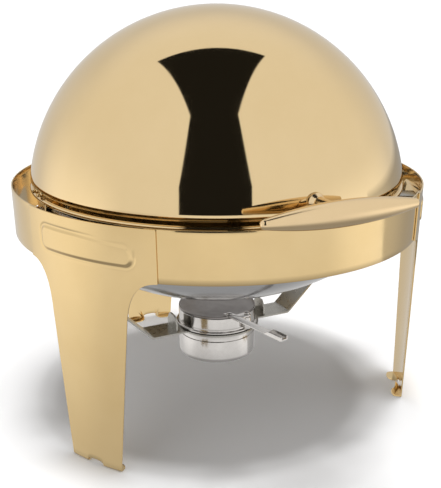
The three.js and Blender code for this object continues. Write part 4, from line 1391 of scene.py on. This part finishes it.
    def grip_walls(self, bottom: float) -> bpy.types.Object:
        """The folded-up walls along the grip, rising from the strip's faces.

        Args:
            bottom: Height of the lever's underside.

        Returns:
            The channel as a solid, in the lever's place.
        """
        steps = 16
        loops = []
        for step in range(steps + 1):
            share = step / steps
            along = self.lever_outer - self.grip_length * (1 - share)
            rise = min(share / 0.22, 1.0)
            eased = rise * rise * (3 - 2 * rise)
            wall = self.lever_sheet * 0.98 + (self.grip_height - self.lever_sheet) * eased
            half = self.lever_width / 2 + 0.0001
            inner = half - self.lever_sheet
            section = [
                (-half, 0.0001), (half, 0.0001), (half, wall - 0.0004), (half - 0.0004, wall), (inner, wall),
                (inner, self.lever_sheet * 0.97), (-inner, self.lever_sheet * 0.97), (-inner, wall),
                (-half + 0.0004, wall), (-half, wall - 0.0004),
            ]
            loops.append([Vector((x - self.lever_offset, -along, bottom + z)) for x, z in section])
        return finished_mesh("grip", moved(lofted(loops), self.on_lever()), 40)

    def build_lever(self) -> None:
        """Builds the lever: a flat strip with a side lug, its end folded up into a channel."""
        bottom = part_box("snuffer_lever")[0][2]
        piece = self.plate("snuffer_lever_strip", 0.0, bottom, bottom + self.lever_sheet)
        broken_edge(piece, 0.00025)
        applied(piece)
        cut(piece, self.grip_walls(bottom), "UNION")
        piece.data.polygons.foreach_set("use_smooth", [True] * len(piece.data.polygons))
        piece.data.set_sharp_from_angle(angle=math.radians(35))
        dress(piece, BURNER_STEEL, Body.SNUFFER, "snuffer_lever")

    def build_rivet(self) -> None:
        """Builds the domed rivet that joins the lever to the disc."""
        low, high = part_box("lever_rivet")
        head = (high[0] - low[0]) / 2
        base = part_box("snuffer_lever")[0][2] + self.lever_sheet + 0.0003
        rise = high[2] - base
        turns = [math.pi / 2 * step / 8 for step in range(9)]
        dome = [(head * math.cos(turn), base + rise * math.sin(turn)) for turn in turns]
        dome[-1] = (0.0, high[2])
        outline = [(0.0, low[2]), (0.0018, low[2]), (0.0018, base), (head, base), *dome[1:]]
        centre = self.on_lever() @ Matrix.Translation((-self.lever_offset, -self.rivet_reach, 0.0))
        piece = finished_mesh("lever_rivet_domed", moved(revolved(outline, 32), centre))
        dress(piece, BURNER_STEEL, Body.SNUFFER, "lever_rivet")

    def build(self) -> None:
        """Builds the holder and its snuffer."""
        self.build_cup()
        self.build_pin()
        self.build_lid()
        self.build_lever()
        self.build_rivet()


# ---------------------------------------------------------------- repeated fasteners


class Head(Enum):
    """The kinds of fastener that are repeated on the object."""

    HEX_NUT = "hex_nut"
    DOMED_RIVET = "domed_rivet"


@dataclass
class FastenerSet:
    """Fasteners of one kind on one body, made by a node tree from points with an outward direction."""

    name: str
    head: Head
    body: Body
    finish: Finish
    nodes: Sequence[str]
    outward: Callable[[Vector], Vector]
    sizes: dict[str, float]
    seed: int = 7

    def seats(self) -> list[tuple[Vector, Vector]]:
        """The middle of each packed fastener, and the direction that it faces.

        Returns:
            A middle and a unit direction for each fastener.
        """
        places = []
        for node in self.nodes:
            low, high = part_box(node)
            middle = (Vector(low) + Vector(high)) / 2
            places.append((middle, self.outward(middle).normalized()))
        return places

    def build_tree(self) -> bpy.types.NodeTree:
        """Builds the node tree with its named sizes.

        Returns:
            The tree, ending in Realize Instances and Set Material.
        """
        tree = bpy.data.node_groups.new(f"{self.name}_tree", "GeometryNodeTree")
        tree.interface.new_socket("Geometry", in_out="INPUT", socket_type="NodeSocketGeometry")
        for label, value in self.sizes.items():
            socket = tree.interface.new_socket(label, in_out="INPUT", socket_type="NodeSocketFloat")
            socket.default_value = value
        tree.interface.new_socket("Geometry", in_out="OUTPUT", socket_type="NodeSocketGeometry")
        entry = tree.nodes.new("NodeGroupInput")
        parts = self.hex_parts(tree, entry) if self.head is Head.HEX_NUT else self.rivet_parts(tree, entry)
        join = tree.nodes.new("GeometryNodeJoinGeometry")
        for part in parts:
            tree.links.new(part, join.inputs[0])
        direction = tree.nodes.new("GeometryNodeInputNamedAttribute")
        direction.data_type = "FLOAT_VECTOR"
        direction.inputs["Name"].default_value = "outward"
        align = tree.nodes.new("FunctionNodeAlignRotationToVector")
        align.axis = "Z"
        tree.links.new(direction.outputs["Attribute"], align.inputs["Vector"])
        twist = tree.nodes.new("FunctionNodeRandomValue")
        twist.data_type = "FLOAT"
        twist.inputs[2].default_value = 0.0
        twist.inputs[3].default_value = math.pi
        twist.inputs["Seed"].default_value = self.seed
        about = tree.nodes.new("ShaderNodeCombineXYZ")
        tree.links.new(twist.outputs[1], about.inputs["Z"])
        turn = tree.nodes.new("FunctionNodeRotateRotation")
        turn.rotation_space = "LOCAL"
        tree.links.new(align.outputs["Rotation"], turn.inputs["Rotation"])
        tree.links.new(about.outputs["Vector"], turn.inputs["Rotate By"])
        place = tree.nodes.new("GeometryNodeInstanceOnPoints")
        tree.links.new(entry.outputs["Geometry"], place.inputs["Points"])
        tree.links.new(join.outputs[0], place.inputs["Instance"])
        tree.links.new(turn.outputs["Rotation"], place.inputs["Rotation"])
        realize = tree.nodes.new("GeometryNodeRealizeInstances")
        material = tree.nodes.new("GeometryNodeSetMaterial")
        material.inputs["Material"].default_value = self.finish.material()
        leave = tree.nodes.new("NodeGroupOutput")
        tree.links.new(place.outputs["Instances"], realize.inputs[0])
        tree.links.new(realize.outputs[0], material.inputs["Geometry"])
        tree.links.new(material.outputs["Geometry"], leave.inputs["Geometry"])
        return tree

    def raised(
        self, tree: bpy.types.NodeTree, mesh: bpy.types.NodeSocket, height: bpy.types.NodeSocket
    ) -> bpy.types.NodeSocket:
        """Lifts a part of the fastener along its own axis by a height socket.

        Args:
            tree: The tree that is being built.
            mesh: The part to lift.
            height: How far to lift it.

        Returns:
            The lifted part.
        """
        lift = tree.nodes.new("ShaderNodeCombineXYZ")
        tree.links.new(height, lift.inputs["Z"])
        move = tree.nodes.new("GeometryNodeTransform")
        tree.links.new(mesh, move.inputs["Geometry"])
        tree.links.new(lift.outputs["Vector"], move.inputs["Translation"])
        return move.outputs["Geometry"]

    def cone(
        self, tree: bpy.types.NodeTree, entry: bpy.types.Node, sides: int, low: str, high: str, depth: str
    ) -> bpy.types.NodeSocket:
        """A cone part whose two radii and depth are named inputs, standing on its own base.

        Args:
            tree: The tree that is being built.
            entry: The tree's input node.
            sides: Number of sides.
            low: Name of the input for the radius at the base.
            high: Name of the input for the radius at the top.
            depth: Name of the input for the height.

        Returns:
            The cone.
        """
        node = tree.nodes.new("GeometryNodeMeshCone")
        node.inputs["Vertices"].default_value = sides
        tree.links.new(entry.outputs[low], node.inputs["Radius Bottom"])
        tree.links.new(entry.outputs[high], node.inputs["Radius Top"])
        tree.links.new(entry.outputs[depth], node.inputs["Depth"])
        return node.outputs["Mesh"]

    def hex_parts(self, tree: bpy.types.NodeTree, entry: bpy.types.Node) -> list[bpy.types.NodeSocket]:
        """A chamfered hexagonal nut on a washer, with the stud's end showing.

        Args:
            tree: The tree that is being built.
            entry: The tree's input node.

        Returns:
            The parts, one socket each.
        """
        nut = self.cone(tree, entry, 6, "Nut Radius", "Nut Radius", "Nut Height")
        crown = self.cone(tree, entry, 6, "Nut Radius", "Crown Radius", "Crown Height")
        washer = self.cone(tree, entry, 28, "Washer Radius", "Washer Radius", "Washer Height")
        stud = self.cone(tree, entry, 16, "Stud Radius", "Stud Tip Radius", "Stud Length")
        return [
            self.raised(tree, washer, entry.outputs["Washer Lift"]),
            self.raised(tree, nut, entry.outputs["Nut Lift"]),
            self.raised(tree, crown, entry.outputs["Crown Lift"]),
            self.raised(tree, stud, entry.outputs["Stud Lift"]),
        ]

    def rivet_parts(self, tree: bpy.types.NodeTree, entry: bpy.types.Node) -> list[bpy.types.NodeSocket]:
        """A shank with a low conical and domed head at its outer end and a flat one inside.

        Args:
            tree: The tree that is being built.
            entry: The tree's input node.

        Returns:
            The parts, one socket each.
        """
        parts = [self.cone(tree, entry, 20, "Shank Radius", "Shank Radius", "Shank Length")]
        for low, high, depth, lift in (
            ("Head Radius", "Shoulder Radius", "Head Step", "Head Lift"),
            ("Shoulder Radius", "Crown Radius", "Head Step", "Crown Lift"),
            ("Tail Radius", "Tail Radius", "Tail Height", "Tail Lift"),
        ):
            part = self.cone(tree, entry, 28, low, high, depth)
            parts.append(self.raised(tree, part, entry.outputs[lift]))
        return parts

    def build(self) -> None:
        """Builds the set and turns it into one plain mesh."""
        seats = self.seats()
        mesh = bpy.data.meshes.new(self.name)
        mesh.from_pydata([tuple(middle) for middle, _ in seats], [], [])
        directions = mesh.attributes.new("outward", "FLOAT_VECTOR", "POINT")
        for entry, (_, facing) in zip(directions.data, seats):
            entry.vector = facing
        piece = bpy.data.objects.new(self.name, mesh)
        bpy.context.scene.collection.objects.link(piece)
        modifier = piece.modifiers.new("fasteners", "NODES")
        modifier.node_group = self.build_tree()
        for item in modifier.node_group.interface.items_tree:
            if item.in_out == "INPUT" and item.name in self.sizes:
                modifier[item.identifier] = self.sizes[item.name]
        applied(piece)
        piece.data.polygons.foreach_set("use_smooth", [True] * len(piece.data.polygons))
        piece.data.set_sharp_from_angle(angle=math.radians(28))
        dress(piece, self.finish, self.body, *self.nodes)


def seam_nuts() -> FastenerSet:
    """The nuts inside the band where the legs are bolted on.

    Returns:
        The set, ready to build.
    """
    nodes = [name for name in frame["nodes"] if name.startswith("frame_nut_")]
    return FastenerSet(
        "seam_nuts", Head.HEX_NUT, Body.FRAME, ZINC_PLATE, nodes,
        lambda middle: Vector((-middle.x, PLACES.axis_y - middle.y, 0.0)),
        {
            "Nut Radius": 0.00395, "Nut Height": 0.0024, "Nut Lift": -0.0011,
            "Crown Radius": 0.0032, "Crown Height": 0.0006, "Crown Lift": 0.0013,
            "Washer Radius": 0.0046, "Washer Height": 0.0005, "Washer Lift": -0.0016,
            "Stud Radius": 0.002, "Stud Tip Radius": 0.0016, "Stud Length": 0.0058, "Stud Lift": -0.0016,
        },
    )


def lug_rivets() -> FastenerSet:
    """The rivets that join the lid's hem to its lugs.

    Returns:
        The set, ready to build.
    """
    nodes = [name for name in frame["nodes"] if name.startswith("lug_rivet_")]
    return FastenerSet(
        "lug_rivets", Head.DOMED_RIVET, Body.LID, LID_GOLD, nodes,
        lambda middle: Vector((middle.x, 0.0, 0.0)),
        {
            "Shank Radius": 0.002, "Shank Length": 0.0062, "Head Radius": 0.0034,
            "Shoulder Radius": 0.0029, "Crown Radius": 0.0013, "Head Step": 0.0006,
            "Head Lift": 0.0018, "Crown Lift": 0.0024,
            "Tail Radius": 0.0034, "Tail Height": 0.0012, "Tail Lift": -0.0033,
        },
    )


# ---------------------------------------------------------------- studio


@dataclass(frozen=True)
class Lobe:
    """A brighter or darker patch of the tent's wall, about an azimuth and below a height."""

    azimuth: float
    start: float
    gain: float
    low: float
    high: float


@dataclass
class Studio:
    """A pale floor, a light tent with a dark opening, a soft lamp and the camera."""

    camera_place: Point3 = (-0.4171, -0.8439, 0.4812)
    camera_heading: Point2 = (0.4473, 0.8944)
    camera_pitch: float = 17.8
    lens: float = 61.13
    opening_azimuth: float = -25.0
    floor_radius: float = 40.0
    base_light: float = 0.93
    lamp_width: float = 16.0
    lamp_place: Point3 = (0.10, 0.02, 2.0)
    opening_offset: float = 0.032
    opening_width: float = 0.352
    waist_from: float = 18.0
    waist_at: float = 60.0
    waist_cut: float = 0.138
    opening_top: float = 106.0
    flare: float = 0.158
    opening_soft: float = 0.004
    opening_depth: float = 0.985
    side_azimuth: float = 108.0
    side_shade: float = 0.45
    under_shade: float = 0.6
    fill_share: float = 0.72
    sun_strength: float = 2.6
    lobes: Sequence[Lobe] = (
        Lobe(66.0, 0.78, 0.34, -0.25, 0.25),
        Lobe(-120.0, 0.76, 0.30, -0.25, 0.45),
        Lobe(-25.0, 0.86, 0.10, -0.35, 0.0),
        Lobe(155.0, 0.20, -0.24, 0.45, 0.85),
        Lobe(-75.0, 0.90, -0.12, -0.2, 0.0),
    )

    def build_camera(self) -> None:
        """Places the camera; its place is given about the pans' axis."""
        data = bpy.data.cameras.new("camera")
        data.lens = self.lens
        data.sensor_width = 36.0
        data.sensor_fit = "AUTO"
        camera = bpy.data.objects.new("camera", data)
        x, y, z = self.camera_place
        camera.location = (x, y + PLACES.axis_y, z)
        pitch = math.radians(self.camera_pitch)
        forward = Vector((*(math.cos(pitch) * Vector(self.camera_heading).normalized()), -math.sin(pitch)))
        camera.rotation_euler = forward.to_track_quat("-Z", "Y").to_euler()
        bpy.context.scene.collection.objects.link(camera)
        bpy.context.scene.camera = camera

    def build_floor(self) -> None:
        """Lays the floor."""
        mesh = revolved([(0.0, 0.0), (0.4, 0.0), (3.0, 0.0), (self.floor_radius, 0.0)], 64)
        floor = finished_mesh("floor", moved(mesh, Matrix.Translation((0.0, 0.0, -0.0002))))
        material = bpy.data.materials.new("pale_floor")
        sheet = NodeSheet(material)
        paint = sheet.add("ShaderNodeBsdfDiffuse", Roughness=0.4)
        mottle = sheet.noise((3.0, 3.0, 3.0), 2.0, 0.5)
        colour = sheet.blend(sheet.ranged(mottle, 0.0, 1.0), (0.93, 0.93, 0.935), (0.91, 0.91, 0.915))
        sheet.link(colour, paint.inputs["Color"])
        sheet.link(paint.outputs["BSDF"], sheet.output.inputs["Surface"])
        floor.data.materials.clear()
        floor.data.materials.append(material)
        floor.visible_glossy = False

    def build_lamp(self) -> None:
        """Hangs a wide soft lamp almost straight overhead, for the shadow."""
        data = bpy.data.lights.new("soft_lamp", "SUN")
        data.angle = math.radians(self.lamp_width)
        data.energy = self.sun_strength
        lamp = bpy.data.objects.new("soft_lamp", data)
        lamp.location = self.lamp_place
        lamp.rotation_euler = (Vector((0, 0, 0.1)) - lamp.location).to_track_quat("-Z", "Y").to_euler()
        lamp.visible_glossy = False
        bpy.context.scene.collection.objects.link(lamp)

    def build_tent(self) -> None:
        """Builds the light tent as the world: bright walls, and one dark opening that flares as it rises."""
        world = bpy.data.worlds.new("light_tent")
        bpy.context.scene.world = world
        world.use_nodes = True
        tree = world.node_tree
        tree.nodes.clear()
        self.tree = tree
        place = tree.nodes.new("ShaderNodeTexCoord")
        split = tree.nodes.new("ShaderNodeSeparateXYZ")
        tree.links.new(place.outputs["Generated"], split.inputs[0])
        x, y, z = split.outputs
        turn = math.radians(self.opening_azimuth)
        towards = self.dot(x, y, math.sin(turn), -math.cos(turn))
        across = self.dot(x, y, math.cos(turn), math.sin(turn))
        beside = self.maths("ABSOLUTE", self.maths("ADD", across, self.opening_offset))
        over = self.maths("ARCTAN2", z, towards)
        angles = (self.waist_from, self.waist_at, self.opening_top)
        start, waist, top = (math.radians(angle) for angle in angles)
        width = self.maths("MULTIPLY_ADD", self.ramp(over, start, waist), -self.waist_cut, self.opening_width)
        width = self.maths("MULTIPLY_ADD", self.ramp(over, waist, top), self.flare, width)
        dark = self.ramp(self.maths("SUBTRACT", width, beside), -self.opening_soft, self.opening_soft)
        dark = self.maths("MULTIPLY", dark, self.ramp(over, math.radians(-2.0), 0.0))
        dark = self.maths("MULTIPLY", dark, self.ramp(over, top + math.radians(0.4), top))
        light = self.maths("ADD", self.base_light, 0.0)
        for lobe in self.lobes:
            light = self.maths("ADD", light, self.lobe_light(lobe, x, y, z))
        side = math.radians(self.side_azimuth)
        low_side = self.dot(x, y, math.sin(side), -math.cos(side))
        shade = self.maths("MULTIPLY", self.ramp(low_side, 0.80, 0.812), self.ramp(z, -0.02, -0.08))
        light = self.maths("MULTIPLY", light, self.maths("MULTIPLY_ADD", shade, -self.side_shade, 1.0))
        under = self.maths("MULTIPLY_ADD", self.ramp(z, -0.38, -0.75), -self.under_shade, 1.0)
        light = self.maths("MULTIPLY", light, under)
        light = self.maths("MULTIPLY", light, self.maths("MULTIPLY_ADD", dark, -self.opening_depth, 1.0))
        rays = tree.nodes.new("ShaderNodeLightPath")
        soft = self.maths("MULTIPLY_ADD", rays.outputs["Is Diffuse Ray"], self.fill_share - 1.0, 1.0)
        light = self.maths("MULTIPLY", light, soft)
        tent = tree.nodes.new("ShaderNodeBackground")
        tent.inputs["Color"].default_value = (1.0, 0.985, 0.965, 1.0)
        tree.links.new(light, tent.inputs["Strength"])
        seen = tree.nodes.new("ShaderNodeBackground")
        seen.inputs["Color"].default_value = (1.0, 1.0, 1.0, 1.0)
        mix = tree.nodes.new("ShaderNodeMixShader")
        tree.links.new(rays.outputs["Is Camera Ray"], mix.inputs["Fac"])
        tree.links.new(tent.outputs["Background"], mix.inputs[1])
        tree.links.new(seen.outputs["Background"], mix.inputs[2])
        output = tree.nodes.new("ShaderNodeOutputWorld")
        tree.links.new(mix.outputs["Shader"], output.inputs["Surface"])

    def lobe_light(
        self, lobe: "Lobe", x: bpy.types.NodeSocket, y: bpy.types.NodeSocket, z: bpy.types.NodeSocket
    ) -> bpy.types.NodeSocket:
        """The light that one lobe adds in a direction given by its three sockets.

        Args:
            lobe: The lobe.
            x: The direction along X.
            y: The direction along Y.
            z: The direction along Z.

        Returns:
            The added light.
        """
        angle = math.radians(lobe.azimuth)
        facing = self.dot(x, y, math.sin(angle), -math.cos(angle))
        around = self.ramp(facing, lobe.start, 1.0, True)
        above = self.maths("SUBTRACT", 1.0, self.ramp(z, lobe.low, lobe.high, True))
        return self.maths("MULTIPLY", self.maths("MULTIPLY", around, above), lobe.gain)

    def maths(self, operation: str, *values: object) -> bpy.types.NodeSocket:
        """Adds a Math node whose inputs are sockets or numbers.

        Args:
            operation: Name of the operation.
            values: Its inputs, in order.

        Returns:
            The result.
        """
        node = self.tree.nodes.new("ShaderNodeMath")
        node.operation = operation
        for place, value in enumerate(values):
            if isinstance(value, (int, float)):
                node.inputs[place].default_value = value
            else:
                self.tree.links.new(value, node.inputs[place])
        return node.outputs["Value"]

    def dot(
        self, x: bpy.types.NodeSocket, y: bpy.types.NodeSocket, along_x: float, along_y: float
    ) -> bpy.types.NodeSocket:
        """The part of a horizontal direction that lies along another."""
        return self.maths("MULTIPLY_ADD", x, along_x, self.maths("MULTIPLY", y, along_y))

    def ramp(
        self, value: bpy.types.NodeSocket, low: float, high: float, smooth: bool = False
    ) -> bpy.types.NodeSocket:
        """Rises from 0 at low to 1 at high.

        Args:
            value: What is ramped.
            low: Where the ramp starts.
            high: Where it ends, which may be below its start.
            smooth: Whether it eases in and out.

        Returns:
            The share, held between 0 and 1.
        """
        node = self.tree.nodes.new("ShaderNodeMapRange")
        node.interpolation_type = "SMOOTHSTEP" if smooth else "LINEAR"
        node.clamp = True
        node.inputs["From Min"].default_value = low
        node.inputs["From Max"].default_value = high
        self.tree.links.new(value, node.inputs["Value"])
        return node.outputs["Result"]

    def build(self) -> None:
        """Builds the studio."""
        self.build_tent()
        self.build_floor()
        self.build_lamp()
        self.build_camera()
        bpy.context.scene.view_settings.view_transform = "Standard"
        bpy.context.scene.view_settings.look = "None"


def main() -> None:
    """Builds the chafer and its studio."""
    logging.basicConfig(level=logging.INFO, format="%(name)s: %(message)s")
    assemblies: Iterable[object] = (
        SheetFrame(), PanSupport(), Pans(), RollLid(), Pivots(), FuelStrap(), FuelHolder(),
        seam_nuts(), lug_rivets(),
    )
    for assembly in assemblies:
        LOG.info("building %s", type(assembly).__name__)
        assembly.build()
    Studio().build()


if __name__ == "__main__":
    main()
